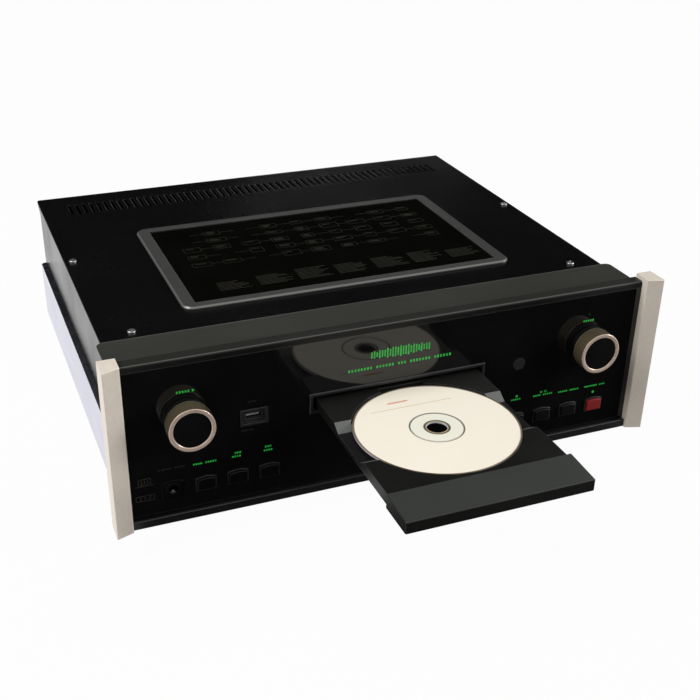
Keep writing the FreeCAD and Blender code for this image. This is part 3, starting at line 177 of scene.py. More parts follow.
def new_effect(name, inputs, outputs):
    """An empty shader group with named sockets: inputs are (name, kind, value)."""
    group = bpy.data.node_groups.new(name, "ShaderNodeTree")
    for label, kind, value in inputs:
        socket = group.interface.new_socket(label, in_out="INPUT", socket_type=kind)
        socket.default_value = value
    for label, kind in outputs:
        group.interface.new_socket(label, in_out="OUTPUT", socket_type=kind)
    start = group.nodes.new("NodeGroupInput")
    end = group.nodes.new("NodeGroupOutput")
    return group, start.outputs, end.inputs


def build_eased_edge():
    """Rounds the corners in the shading and finds patchy corners to recolour: partly rubbed wear, partly a
    painted highlight along the edges.
    """
    group, given, made = new_effect(
        "eased_edge",
        [
            ("Radius", "NodeSocketFloat", 0.0005),
            ("Wear", "NodeSocketFloat", 0.5),
            ("Patch Scale", "NodeSocketFloat", 60.0),
        ],
        [("Normal", "NodeSocketVector"), ("Rubbed And Highlit", "NodeSocketFloat")],
    )
    bevel = group.nodes.new("ShaderNodeBevel")
    bevel.samples = 4
    feed(group, bevel.inputs["Radius"], given["Radius"])
    flat = group.nodes.new("ShaderNodeNewGeometry").outputs["Normal"]
    turn = vector_maths(group, "DOT_PRODUCT", bevel.outputs["Normal"], flat, "Value")
    corner = stretch_range(group, turn, 0.995, 0.86)
    patches = cloud(group, object_place(group), given["Patch Scale"], 4.0)
    broken = stretch_range(group, patches, 0.32, 0.62)
    rubbed_and_highlit = maths(group, "MULTIPLY", corner, broken)
    feed(group, made["Rubbed And Highlit"], maths(group, "MULTIPLY", rubbed_and_highlit, given["Wear"]))
    feed(group, made["Normal"], bevel.outputs["Normal"])
    return group


def build_grain():
    """A fine surface texture, even in all directions or drawn out into streaks."""
    group, given, made = new_effect(
        "grain",
        [
            ("Scale", "NodeSocketFloat", 900.0),
            ("Stretch", "NodeSocketVector", (1.0, 1.0, 1.0)),
            ("Detail", "NodeSocketFloat", 3.0),
        ],
        [("Height", "NodeSocketFloat"), ("Tone", "NodeSocketFloat")],
    )
    place = vector_maths(group, "MULTIPLY", object_place(group), given["Stretch"])
    fine = cloud(group, place, given["Scale"], given["Detail"], 0.6)
    broad = cloud(group, place, maths(group, "MULTIPLY", given["Scale"], 0.13), 2.0)
    feed(group, made["Height"], fine)
    both = maths(group, "ADD", maths(group, "MULTIPLY", fine, 0.6), maths(group, "MULTIPLY", broad, 0.4))
    feed(group, made["Tone"], stretch_range(group, both, 0.3, 0.7))
    return group


def build_handling():
    """Soft smudges from hands and cloths, and dust that settles on what faces up."""
    group, given, made = new_effect(
        "handling",
        [("Smudge Scale", "NodeSocketFloat", 9.0), ("Dust", "NodeSocketFloat", 0.1)],
        [("Smudge", "NodeSocketFloat"), ("Dust", "NodeSocketFloat")],
    )
    place = object_place(group)
    blots = cloud(group, place, given["Smudge Scale"], 5.0, 0.62)
    feed(group, made["Smudge"], stretch_range(group, blots, 0.35, 0.68))
    up = facing(group, UP)
    specks = stretch_range(group, cloud(group, place, 1400.0, 2.0), 0.56, 0.78)
    lying = maths(group, "MULTIPLY", stretch_range(group, up, 0.4, 1.0), specks)
    feed(group, made["Dust"], maths(group, "MULTIPLY", lying, given["Dust"]))
    return group


def build_axis_distance():
    """Distance from an axis: Keep is 1 on the two directions across it and 0 along it."""
    group, given, made = new_effect(
        "axis_distance",
        [("Centre", "NodeSocketVector", (0.0, 0.0, 0.0)), ("Keep", "NodeSocketVector", (1.0, 0.0, 1.0))],
        [("Distance", "NodeSocketFloat")],
    )
    away = vector_maths(group, "SUBTRACT", object_place(group), given["Centre"])
    across = vector_maths(group, "MULTIPLY", away, given["Keep"])
    feed(group, made["Distance"], vector_maths(group, "LENGTH", across, output="Value"))
    return group


EASED_EDGE = build_eased_edge()
GRAIN = build_grain()
HANDLING = build_handling()
AXIS_DISTANCE = build_axis_distance()


def effect(tree, group, **values):
    """Places a shared effect; a value's name is the input's name in lower case."""
    made = tree.nodes.new("ShaderNodeGroup")
    made.node_tree = group
    for label, value in values.items():
        feed(tree, made.inputs[label.replace("_", " ").title()], value)
    return made.outputs


# ---- finishes


def new_finish(name):
    finish = bpy.data.materials.new(name)
    finish.use_nodes = True
    tree = finish.node_tree
    return finish, tree, tree.nodes["Principled BSDF"]


def surface(
    name,
    colour,
    shade,
    roughness,
    roughness_spread=0.06,
    metal=0.0,
    specular=0.5,
    grain_scale=900.0,
    stretch=(1.0, 1.0, 1.0),
    grain_depth=0.00002,
    edge_radius=0.0005,
    wear=0.5,
    edge_wear_and_highlight_colour=None,
    dust=0.06,
    tint=None,
):
    """A painted, moulded or metal finish: grain, soft corners, rubbed edges that also carry a painted edge
    highlight, smudges and dust.
    """
    finish, tree, shader = new_finish(name)
    edge = effect(tree, EASED_EDGE, radius=edge_radius, wear=wear)
    grain = effect(tree, GRAIN, scale=grain_scale, stretch=stretch)
    marks = effect(tree, HANDLING, dust=dust)
    ground = mix_colours(tree, grain["Tone"], colour, shade)
    if tint:
        ground = tint(tree, ground)
    # Corners take the edge colour: partly rubbed wear, partly a painted highlight along the edges.
    rubbed_and_highlit = mix_colours(tree, edge["Rubbed And Highlit"], ground, edge_wear_and_highlight_colour or shade)
    feed(tree, shader.inputs["Base Color"], mix_colours(tree, marks["Dust"], rubbed_and_highlit, rgb(150, 146, 140)))
    low = roughness - roughness_spread
    high = roughness + roughness_spread
    feed(tree, shader.inputs["Roughness"], stretch_range(tree, marks["Smudge"], 0.0, 1.0, low, high))
    shader.inputs["Metallic"].default_value = metal
    shader.inputs["Specular IOR Level"].default_value = specular
    relief = bumped(tree, grain["Height"], grain_depth, edge["Normal"])
    feed(tree, shader.inputs["Normal"], relief)
    return finish


def turned_about(centre, keep, pitch, strength):
    """A tint of fine lathe rings about an axis."""

    def tint(tree, ground):
        distance = effect(tree, AXIS_DISTANCE, centre=centre, keep=keep)["Distance"]
        wave = maths(tree, "SINE", maths(tree, "MULTIPLY", distance, math.tau / pitch))
        ring = stretch_range(tree, wave, -1.0, 1.0, 0.0, strength)
        return mix_colours(tree, ring, ground, BLACK)

    return tint


def traces_on_board(tree, ground):
    """Copper traces and pads under the green lacquer of a board."""
    cells = tree.nodes.new("ShaderNodeTexVoronoi")
    cells.distance = "MANHATTAN"
    cells.feature = "F1"
    feed(tree, cells.inputs["Vector"], object_place(tree))
    feed(tree, cells.inputs["Scale"], 180.0)
    turns = maths(tree, "FRACT", maths(tree, "MULTIPLY", cells.outputs["Distance"], 4.0))
    line = stretch_range(tree, turns, 0.42, 0.5)
    return mix_colours(tree, maths(tree, "MULTIPLY", line, 0.35), ground, rgb(96, 140, 70))


def faced(tree, ground, axis, low, high, colour):
    """Recolours the faces that look along an axis by more than low and less than high."""
    soft = 0.04
    part = facing(tree, axis)
    above = stretch_range(tree, part, low - soft, low + soft)
    below = stretch_range(tree, part, high - soft, high + soft, 1.0, 0.0)
    return mix_colours(tree, maths(tree, "MULTIPLY", above, below), ground, colour)


def painted_shoulder_highlight(colour, low=0.3, high=0.93):
    """A painted highlight: a lighter colour on the sloped, rounded faces between the top and the sides."""

    def tint(tree, ground):
        return faced(tree, ground, UP, low, high, colour)

    return tint


def lip_painted_light(edge, front):
    """Painted light: a painted highlight line along the top edge and painted shade on the front."""

    def tint(tree, ground):
        front_painted_shade = faced(tree, ground, FORWARD, 0.6, 1.2, front)
        return faced(tree, front_painted_shade, UP, 0.66, 0.93, edge)

    return tint


def crown_painted_highlight(tree, ground):
    """A painted highlight: a bright line along the crown's rear edge."""
    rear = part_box("front_subframe")[1].y
    line = stretch_range(tree, place_along_y(tree), rear - 0.0014, rear - 0.0011)
    return mix_colours(tree, line, ground, rgb(104, 104, 98))


def painted_top_light(colour):
    """Painted light: a lighter colour on the faces that look up."""

    def tint(tree, ground):
        return faced(tree, ground, UP, 0.9, 1.2, colour)

    return tint


def wound_wire(tree, ground):
    """Turns of enamelled wire, side by side."""
    wire = 0.0012
    turns = maths(tree, "SINE", maths(tree, "MULTIPLY", place_along_y(tree), math.tau / wire))
    return mix_colours(tree, stretch_range(tree, turns, -1.0, 0.4, 0.7, 0.0), ground, rgb(50, 22, 8))


FINISHES = {
    "black_coat": surface(
        "satin_black_coat", rgb(7, 7, 8), rgb(13, 13, 14), roughness=0.25, roughness_spread=0.05,
        specular=0.3, grain_scale=2600.0, grain_depth=0.000012, edge_radius=0.0009, wear=0.3,
        edge_wear_and_highlight_colour=rgb(74, 74, 78), dust=0.02,
    ),
    "pale_steel": surface(
        "plated_chassis_steel", rgb(222, 223, 236), rgb(196, 197, 214), roughness=0.3, metal=1.0,
        grain_scale=420.0, stretch=(1.0, 0.04, 1.0), grain_depth=0.00001, edge_radius=0.0006,
        wear=0.5, edge_wear_and_highlight_colour=rgb(225, 225, 235),
    ),
    "cap_metal": surface(
        "champagne_cap_metal", rgb(233, 223, 210), rgb(222, 211, 196), roughness=0.42, metal=0.12,
        grain_scale=1900.0, grain_depth=0.000012, edge_radius=0.0007, wear=0.35,
        edge_wear_and_highlight_colour=rgb(248, 242, 234), dust=0.0,
    ),
    "crown_metal": surface(
        "dark_crown_metal", rgb(66, 66, 62), rgb(58, 58, 55), roughness=0.36, metal=0.3,
        grain_scale=500.0, stretch=(0.05, 1.0, 1.0), grain_depth=0.000008, edge_radius=0.0004,
        wear=0.3, edge_wear_and_highlight_colour=rgb(110, 110, 104), tint=crown_painted_highlight, dust=0.03,
    ),
    "gloss_black": surface(
        "polished_black_lacquer", rgb(7, 7, 7), rgb(11, 11, 11), roughness=0.2,
        roughness_spread=0.04, specular=0.35, grain_scale=700.0, grain_depth=0.000002,
        edge_radius=0.0004, wear=0.5, edge_wear_and_highlight_colour=rgb(70, 70, 68),
        tint=painted_shoulder_highlight(rgb(44, 44, 43)),
    ),
    "matte_black": surface(
        "moulded_black_plastic", rgb(5, 5, 5), rgb(10, 10, 10), roughness=0.34, specular=0.25,
        grain_scale=2400.0, grain_depth=0.00001, edge_radius=0.0003, wear=0.25,
        edge_wear_and_highlight_colour=rgb(52, 52, 53),
    ),
    "window_frame": surface(
        "grey_window_frame", rgb(70, 70, 69), rgb(78, 78, 77), roughness=0.34, metal=0.3,
        grain_scale=1500.0, grain_depth=0.00001, edge_radius=0.0006, wear=0.6,
        edge_wear_and_highlight_colour=rgb(136, 136, 132), tint=painted_shoulder_highlight(rgb(104, 104, 101)),
    ),
    "steel": surface(
        "drawn_steel", rgb(170, 170, 172), rgb(130, 130, 134), roughness=0.3, metal=1.0,
        grain_scale=600.0, stretch=(1.0, 0.06, 1.0), edge_radius=0.0003,
        edge_wear_and_highlight_colour=rgb(220, 220, 222),
    ),
    "dark_steel": surface(
        "black_oxide_steel", rgb(22, 22, 23), rgb(38, 38, 40), roughness=0.36, metal=0.3,
        grain_scale=1800.0, grain_depth=0.000014, edge_radius=0.0005, wear=0.6,
        edge_wear_and_highlight_colour=rgb(120, 120, 122),
    ),
    "rubber": surface(
        "foot_rubber", rgb(20, 20, 20), rgb(34, 33, 32), roughness=0.78, specular=0.3,
        grain_scale=1500.0, grain_depth=0.00005, edge_radius=0.0006,
    ),
    "board_green": surface(
        "green_board_lacquer", rgb(18, 78, 42), rgb(28, 96, 52), roughness=0.32, grain_scale=700.0,
        grain_depth=0.00002, edge_radius=0.0002, edge_wear_and_highlight_colour=rgb(150, 130, 80),
        tint=traces_on_board,
    ),
    "tray_grey": surface(
        "tray_plastic", rgb(13, 13, 12), rgb(19, 19, 18), roughness=0.36, specular=0.4,
        grain_scale=2600.0, grain_depth=0.00002, edge_radius=0.0005, wear=0.5,
        edge_wear_and_highlight_colour=rgb(92, 94, 98), tint=painted_shoulder_highlight(rgb(96, 98, 96), 0.25, 0.9),
    ),
    "white_plastic": surface(
        "white_nylon", rgb(226, 224, 214), rgb(208, 206, 196), roughness=0.45, grain_scale=1200.0,
        edge_radius=0.0003,
    ),
    "tinted": surface(
        "tinted_sensor_window", rgb(46, 46, 45), rgb(38, 38, 38), roughness=0.14,
        roughness_spread=0.04, grain_scale=500.0, grain_depth=0.000002, edge_radius=0.0004,
        edge_wear_and_highlight_colour=rgb(72, 72, 70), dust=0.0,
    ),
    "copper": surface(
        "wound_copper_wire", rgb(186, 96, 48), rgb(150, 72, 34), roughness=0.35, metal=0.8,
        grain_scale=600.0, edge_radius=0.0006, edge_wear_and_highlight_colour=rgb(220, 150, 100), tint=wound_wire,
    ),
    "gold": surface(
        "gold_plate", rgb(232, 192, 104), rgb(206, 160, 76), roughness=0.2, metal=1.0,
        grain_scale=900.0, grain_depth=0.000006, edge_radius=0.0003, edge_wear_and_highlight_colour=rgb(250, 226, 160),
        dust=0.0,
    ),
}


def put_finish(piece, finish):
    piece.data.materials.clear()
    piece.data.materials.append(finish)


def dress_nodes():
    """Gives every CAD node the finish of its material slot, or moulded plastic."""
    slots = {row["node"]: row["material_slot"] for row in frame["record"]["subparts"]}
    for node, piece in NODES.items():
        put_finish(piece, FINISHES.get(slots[node], FINISHES["matte_black"]))


# ---- glass, light and print


def black_glass(name, colour, roughness):
    """Polished glass, painted black behind, with the faint haze of wiped fingerprints."""
    finish, tree, shader = new_finish(name)
    edge = effect(tree, EASED_EDGE, radius=0.0006, wear=0.6)
    marks = effect(tree, HANDLING, smudge_scale=14.0, dust=0.02)
    dull = tuple(part * 0.6 for part in colour[:3]) + (1.0,)
    depth = mix_colours(tree, marks["Smudge"], colour, dull)
    # Paler corners: partly rubbed wear, partly a painted highlight along the glass edges.
    rubbed_and_highlit = mix_colours(tree, edge["Rubbed And Highlit"], depth, rgb(60, 70, 66))
    feed(tree, shader.inputs["Base Color"], mix_colours(tree, marks["Dust"], rubbed_and_highlit, rgb(120, 118, 112)))
    hazed = stretch_range(tree, marks["Smudge"], 0.0, 1.0, roughness, roughness * 3)
    feed(tree, shader.inputs["Roughness"], hazed)
    ripple = cloud(tree, object_place(tree), 5.0, 1.0)
    feed(tree, shader.inputs["Normal"], bumped(tree, ripple, 0.0002, edge["Normal"], 0.25))
    shader.inputs["IOR"].default_value = 1.52
    return finish


def lit_print(name, colour, deep, strength):
    """Print lit from behind: the light thins towards the ends of each mark."""
    finish, tree, shader = new_finish(name)
    patches = stretch_range(tree, cloud(tree, object_place(tree), 260.0, 3.0), 0.3, 0.7)
    glow = mix_colours(tree, patches, deep, colour)
    feed(tree, shader.inputs["Base Color"], mix_colours(tree, 0.6, glow, BLACK))
    feed(tree, shader.inputs["Emission Color"], glow)
    shader.inputs["Emission Strength"].default_value = strength
    feed(tree, shader.inputs["Roughness"], stretch_range(tree, patches, 0.0, 1.0, 0.3, 0.45))
    return finish


def plain_print(name, colour, deep, roughness):
    """Screen print, a little uneven where the ink lies thinner."""
    finish, tree, shader = new_finish(name)
    place = object_place(tree)
    ink = stretch_range(tree, cloud(tree, place, 320.0, 4.0), 0.3, 0.7)
    feed(tree, shader.inputs["Base Color"], mix_colours(tree, ink, deep, colour))
    feed(tree, shader.inputs["Roughness"], stretch_range(tree, ink, 0.0, 1.0, roughness - 0.08, roughness))
    shader.inputs["Specular IOR Level"].default_value = 0.3
    feed(tree, shader.inputs["Normal"], bumped(tree, cloud(tree, place, 1800.0), 0.00001))
    return finish


def disc_label_finish():
    """Cream print on the disc, with the moulded rings round its hub and a bare rim."""
    finish, tree, shader = new_finish("cream_disc_print")
    place = object_place(tree)
    distance = effect(tree, AXIS_DISTANCE, centre=tuple(DISC_CENTRE), keep=(1.0, 1.0, 0.0))["Distance"]
    share = maths(tree, "DIVIDE", distance, DISC_RADIUS)
    cream = rgb(248, 240, 224)
    rings = steps(
        tree,
        share,
        [
            (0.128, rgb(214, 186, 140)),
            (0.139, rgb(38, 34, 28)),
            (0.158, rgb(30, 27, 22)),
            (0.166, rgb(236, 236, 220)),
            (0.312, rgb(240, 238, 222)),
            (0.318, rgb(48, 44, 34)),
            (0.330, rgb(56, 52, 40)),
            (0.336, cream),
            (0.972, cream),
            (0.978, rgb(96, 78, 50)),
            (0.992, rgb(40, 34, 24)),
        ],
    )
    up = facing(tree, UP)
    bottom = mix_colours(tree, stretch_range(tree, share, 0.3, 1.0), rgb(170, 178, 190), rgb(150, 140, 170))
    top = stretch_range(tree, up, 0.2, 0.8)
    both = mix_colours(tree, top, bottom, rings)
    patches = stretch_range(tree, cloud(tree, place, 26.0, 3.0), 0.3, 0.7, 0.0, 0.22)
    feed(tree, shader.inputs["Base Color"], mix_colours(tree, patches, both, rgb(246, 232, 208)))
    fine = cloud(tree, place, 2200.0)
    feed(tree, shader.inputs["Roughness"], stretch_range(tree, fine, 0.3, 0.7, 0.34, 0.46))
    feed(tree, shader.inputs["Normal"], bumped(tree, fine, 0.000006))
    return finish


PANEL_GLASS = black_glass("black_panel_glass", rgb(17, 17, 17), 0.025)
WINDOW_GLASS = black_glass("black_window_glass", rgb(8, 8, 6), 0.03)
GREEN_LIGHT = lit_print("green_lit_print", rgb(34, 160, 58), rgb(14, 122, 34), 0.9)
FAINT_INK = plain_print("faint_window_ink", rgb(40, 39, 32), rgb(22, 22, 17), 0.5)
DIM_INK = plain_print("dim_panel_ink", rgb(38, 38, 36), rgb(24, 24, 23), 0.5)
# Steel contacts in a pale matte colour: partly their own colour, partly a painted highlight.
CONTACT_PAINTED_HIGHLIGHT = plain_print("pale_contact_painted_highlight", rgb(214, 214, 206), rgb(176, 176, 170), 0.4)
ROSE_INK = plain_print("rose_disc_ink", rgb(226, 170, 150), rgb(214, 150, 132), 0.6)
SAND_INK = plain_print("sand_disc_ink", rgb(226, 202, 178), rgb(214, 190, 164), 0.6)
# The lip's bright top edge and dark front are a painted highlight and painted shade.
LIP_METAL = surface(
    "satin_lip_metal", rgb(40, 40, 37), rgb(33, 33, 31), roughness=0.42, specular=0.25,
    grain_scale=500.0, stretch=(0.05, 1.0, 1.0), grain_depth=0.000006, edge_radius=0.0002, wear=0.1,
    edge_wear_and_highlight_colour=rgb(46, 46, 43), tint=lip_painted_light(rgb(74, 74, 70), rgb(9, 9, 8)), dust=0.03,
)
# Its lighter top is painted light on one plastic.
TRAY_LIP = surface(
    "tray_lip_plastic", rgb(18, 18, 17), rgb(23, 23, 22), roughness=0.38, specular=0.4,
    grain_scale=2200.0, grain_depth=0.00001, edge_radius=0.0004, wear=0.5,
    edge_wear_and_highlight_colour=rgb(84, 84, 82), tint=painted_top_light(rgb(52, 54, 51)), dust=0.02,
)
SCREW_STEEL = surface(
    "zinc_screw_steel", rgb(178, 178, 176), rgb(140, 140, 140), roughness=0.28, metal=0.9,
    grain_scale=900.0, grain_depth=0.000004, edge_radius=0.0003, edge_wear_and_highlight_colour=rgb(225, 225, 225),
    dust=0.0,
)
RED_BUTTON = surface(
    "red_button_plastic", rgb(142, 22, 22), rgb(118, 16, 18), roughness=0.34, grain_scale=2200.0,
    edge_radius=0.0005, wear=0.5, edge_wear_and_highlight_colour=rgb(196, 60, 56), dust=0.0,
)


def bronze_band_painted_light(box):
    """Painted light: painted shade that darkens the turned side of a band, and a painted highlight that
    keeps its rear edge bright.
    """
    rear = box[1].y

    def tint(tree, ground):
        side = faced(tree, ground, FORWARD, -0.6, 0.55, rgb(92, 82, 63))
        edge = stretch_range(tree, place_along_y(tree), rear - 0.0007, rear - 0.0005)
        return mix_colours(tree, edge, side, rgb(176, 168, 150))

    return tint


def knob_finishes(name, box):
    """The two finishes of one knob: bronze for its band and turned black for its face."""
    low, high = box
    centre = tuple((low + high) / 2)
    across = (1.0, 0.0, 1.0)
    band = surface(
        f"{name}_polished_bronze", rgb(224, 202, 186), rgb(206, 182, 164), roughness=0.26,
        roughness_spread=0.04, metal=0.4, grain_scale=800.0, stretch=(1.0, 0.1, 1.0),
        grain_depth=0.000004, edge_radius=0.0003, wear=0.2, edge_wear_and_highlight_colour=rgb(246, 232, 216),
        tint=bronze_band_painted_light(box), dust=0.0,
    )
    face = surface(
        f"{name}_turned_black_face", rgb(12, 12, 13), rgb(18, 18, 20), roughness=0.24,
        roughness_spread=0.05, specular=0.3, grain_scale=900.0, grain_depth=0.000003,
        edge_radius=0.0003, edge_wear_and_highlight_colour=rgb(60, 52, 46),
        tint=turned_about(centre, across, 0.0006, 0.35), dust=0.0,
    )
    return band, face


dress_nodes()
put_finish(NODES["front_glass"], PANEL_GLASS)
put_finish(NODES["window_glass"], WINDOW_GLASS)
put_finish(NODES["display_module"], WINDOW_GLASS)
put_finish(NODES["standby_led"], GREEN_LIGHT)
put_finish(NODES["front_top_rail"], LIP_METAL)
put_finish(NODES["tray_front"], TRAY_LIP)
put_finish(NODES["cover_screws"], SCREW_STEEL)
put_finish(NODES["button_standby"], RED_BUTTON)
put_finish(NODES["disc"], disc_label_finish())
KNOB_FINISHES = {name: knob_finishes(name, box) for name, box in KNOBS.items()}
for knob, (band_finish, face_finish) in KNOB_FINISHES.items():
    put_finish(NODES[f"{knob}_knob_band"], band_finish)
    put_finish(NODES[f"{knob}_knob_face"], face_finish)


# ---- meshes


def add_object(name, data):
    made = bpy.data.objects.new(name, data)
    bpy.context.scene.collection.objects.link(made)
    return made


def keep_mesh(name, mesh, body, finish=None):
    """A finished piece: an object at the origin that rides on a body."""
    piece = add_object(name, mesh)
    if finish:
        put_finish(piece, finish)
    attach(piece, body)


def closed_mesh(name, shape):
    """Turns a drawn shape into a mesh, with its faces outward."""
    bmesh.ops.recalc_face_normals(shape, faces=shape.faces)
    mesh = bpy.data.meshes.new(name)
    shape.to_mesh(mesh)
    shape.free()
    return mesh


def plates_mesh(name, outlines, back, front):
    """Flat plates that face the front: each outline is (x, z) points, from y back to y front."""
    shape = bmesh.new()
    for outline in outlines:
        rear = [shape.verts.new((x, back, z)) for x, z in outline]
        face = shape.faces.new(rear)
        grown = bmesh.ops.extrude_face_region(shape, geom=[face])
        moved = [item for item in grown["geom"] if isinstance(item, bmesh.types.BMVert)]
        bmesh.ops.translate(shape, verts=moved, vec=(0.0, front - back, 0.0))
    return closed_mesh(name, shape)


def turned_mesh(name, profiles, segments=96):
    """Closed rings about axes along y: each is (x, z) of the axis and (radius, y) points."""
    shape = bmesh.new()
    for (x, z), outline in profiles:
        loops = []
        for step in range(segments):
            angle = math.tau * step / segments
            across, up = math.cos(angle), math.sin(angle)
            loops.append([shape.verts.new((x + r * across, y, z + r * up)) for r, y in outline])
        count = len(outline)
        for step in range(segments):
            here, there = loops[step], loops[(step + 1) % segments]
            for k in range(count):
                after = (k + 1) % count
                shape.faces.new((here[k], here[after], there[after], there[k]))
    for face in shape.faces:
        face.smooth = True
    return closed_mesh(name, shape)


def rounded_rim(inner, outer, back, front):
    """A half-round section from an inner to an outer radius, proud towards the front."""
    middle, half = (inner + outer) / 2, (outer - inner) / 2
    arc = [math.pi * step / 8 for step in range(9)]
    crest = [(middle - half * math.cos(a), back + (front - back) * math.sin(a) ** 0.7) for a in arc]
    sunk = back + 0.0003
    return crest + [(outer, sunk), (inner, sunk)]


def knob_rims():
    """A bright rolled rim round each knob's black face."""
    skin = 0.0001
    rim_width = 0.00315
    for name, (low, high) in KNOBS.items():
        face_low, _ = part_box(f"{name}_knob_face")
        centre = ((low.x + high.x) / 2, (low.z + high.z) / 2)
        outer = (high.x - low.x) / 2 - skin
        outline = rounded_rim(outer - rim_width, outer, face_low.y - skin, low.y)
        mesh = turned_mesh(f"{name}_knob_rim", [(centre, outline)])
        keep_mesh(f"{name}_knob_rim", mesh, f"{name}_knob", KNOB_FINISHES[name][0])


knob_rims()


# ---- blocks stamped by geometry nodes


def new_stamp(name, inputs):
    """An empty geometry tree that takes points, inputs as (name, kind, value), and a finish."""
    tree = bpy.data.node_groups.new(name, "GeometryNodeTree")
    tree.interface.new_socket("Points", in_out="INPUT", socket_type="NodeSocketGeometry")
    for label, kind, value in inputs:
        socket = tree.interface.new_socket(label, in_out="INPUT", socket_type=kind)
        socket.default_value = value
    tree.interface.new_socket("Finish", in_out="INPUT", socket_type="NodeSocketMaterial")
    tree.interface.new_socket("Pieces", in_out="OUTPUT", socket_type="NodeSocketGeometry")
    return tree, tree.nodes.new("NodeGroupInput").outputs


def end_stamp(tree, given, piece, scale=None, turn=None):
    """Ends a tree: the piece on every point, as real meshes in the tree's finish."""
    stamp = tree.nodes.new("GeometryNodeInstanceOnPoints")
    feed(tree, stamp.inputs["Points"], given["Points"])
    feed(tree, stamp.inputs["Instance"], piece)
    feed(tree, stamp.inputs["Scale"], scale)
    feed(tree, stamp.inputs["Rotation"], turn)
    real = tree.nodes.new("GeometryNodeRealizeInstances")
    feed(tree, real.inputs[0], stamp.outputs[0])
    coat = tree.nodes.new("GeometryNodeSetMaterial")
    feed(tree, coat.inputs["Geometry"], real.outputs[0])
    feed(tree, coat.inputs["Material"], given["Finish"])
    feed(tree, tree.nodes.new("NodeGroupOutput").inputs["Pieces"], coat.outputs[0])
    return tree


def build_stamped_blocks():
    """Stamps a block on each point, as large as the point's block_size says."""
    tree, given = new_stamp(
        "stamped_blocks",
        [("Size Jitter", "NodeSocketFloat", 0.0), ("Seed", "NodeSocketInt", 3)],
    )
    size = tree.nodes.new("GeometryNodeInputNamedAttribute")
    size.data_type = "FLOAT_VECTOR"
    size.inputs["Name"].default_value = "block_size"
    chance = tree.nodes.new("FunctionNodeRandomValue")
    chance.data_type = "FLOAT"
    lowest, highest = chance.inputs[2], chance.inputs[3]
    feed(tree, lowest, maths(tree, "SUBTRACT", 1.0, given["Size Jitter"]))
    feed(tree, highest, 1.0)
    feed(tree, chance.inputs["Seed"], given["Seed"])
    scaled = tree.nodes.new("ShaderNodeVectorMath")
    scaled.operation = "SCALE"
    feed(tree, scaled.inputs[0], size.outputs[0])
    feed(tree, scaled.inputs["Scale"], chance.outputs[1])
    block = tree.nodes.new("GeometryNodeMeshCube").outputs["Mesh"]
    return end_stamp(tree, given, block, scale=scaled.outputs[0])


STAMPED_BLOCKS = build_stamped_blocks()


def grow(tree, source, values):
    """Runs a geometry tree on a source mesh and returns the plain mesh that it makes."""
    carrier = add_object("carrier", source)
    work = carrier.modifiers.new("grow", "NODES")
    work.node_group = tree
    sockets = {s.name: s.identifier for s in tree.interface.items_tree if s.in_out == "INPUT"}
    for label, value in values.items():
        work[sockets[label]] = value
    bpy.context.view_layer.update()
    seen = carrier.evaluated_get(bpy.context.evaluated_depsgraph_get())
    mesh = bpy.data.meshes.new_from_object(seen)
    carrier.modifiers.clear()
    bpy.data.objects.remove(carrier)
    return mesh


def stamp_blocks(name, blocks, finish, body, jitter=0.0, seed=3):
    """Printed or small square-edged pieces: blocks are (centre, size) pairs, in metres."""
    source = bpy.data.meshes.new(f"{name}_points")
    source.from_pydata([centre for centre, _ in blocks], [], [])
    sizes = source.attributes.new("block_size", "FLOAT_VECTOR", "POINT")
    sizes.data.foreach_set("vector", [part for _, size in blocks for part in size])
    mesh = grow(STAMPED_BLOCKS, source, {"Size Jitter": jitter, "Seed": seed, "Finish": finish})
    mesh.name = name
    keep_mesh(name, mesh, body)


# ---- marks on the front glass

INK = 0.00008
MARK_BACK = GLASS_FACE
MARK_FRONT = GLASS_FACE - INK

# Rows of dashes where a panel carries its captions, in millimetres from the middle of the piece
# they belong to: left end, right end, rise, height, (dash, gap) and the places left blank.
KNOB_DASH = (1.3, 0.75)
BUTTON_DASH = (1.15, 0.65)
TITLE_DASH = (1.5, 1.0)
LIT_CAPTIONS = (
    ("input_knob_band", -6.0, 4.6, 21.3, 1.9, KNOB_DASH, ()),
    ("button_layer", -8.8, 9.8, 17.2, 1.5, BUTTON_DASH, (4,)),
    ("button_previous", -4.1, 3.9, 17.2, 1.5, BUTTON_DASH, ()),
    ("button_next", -4.2, 3.8, 17.4, 1.5, BUTTON_DASH, ()),
    ("button_stop", -4.8, 3.6, 18.3, 1.4, BUTTON_DASH, ()),
    ("button_play", -9.1, 9.1, 18.0, 1.5, BUTTON_DASH, (4,)),
    ("button_open", -10.4, 10.2, 17.2, 1.4, BUTTON_DASH, (5,)),
    ("button_standby", -10.3, 9.7, 17.2, 1.4, BUTTON_DASH, (7,)),
    ("level_knob_band", -6.8, 4.6, 21.1, 1.7, KNOB_DASH, ()),
    ("tray_slot_trim", -42.0, 42.0, 21.35, 2.3, TITLE_DASH, (8, 15, 19, 27)),
)
DIM_CAPTIONS = (
    ("headphone_jack", -9.9, 10.9, 17.9, 1.3, (1.2, 0.8), (5,)),
    ("usb_bezel", -4.4, 2.0, 13.0, 1.1, (1.0, 0.7), ()),
    ("usb_bezel", -9.8, 0.2, -10.4, 1.2, (1.1, 0.8), ()),
    ("headphone_jack", -27.5, -13.9, 7.2, 0.6, (13.4, 1.0), ()),
)


def dashes(left, right, z, tall, dash, blanks=()):
    """A row of dashes from left to right, as (x, z, width, height), some of them left out."""
    wide, gap = dash
    blocks = []
    x = left
    index = 0
    while x + wide <= right + 0.01:
        if index not in blanks:
            blocks.append((x + wide / 2, z, wide, tall))
        x += wide + gap
        index += 1
    return blocks


def captions(rows):
    blocks = []
    for node, left, right, rise, tall, dash, blanks in rows:
        x, z = middle_mm(node)
        blocks += dashes(x + left, x + right, z + rise, tall, dash, blanks)
    return blocks


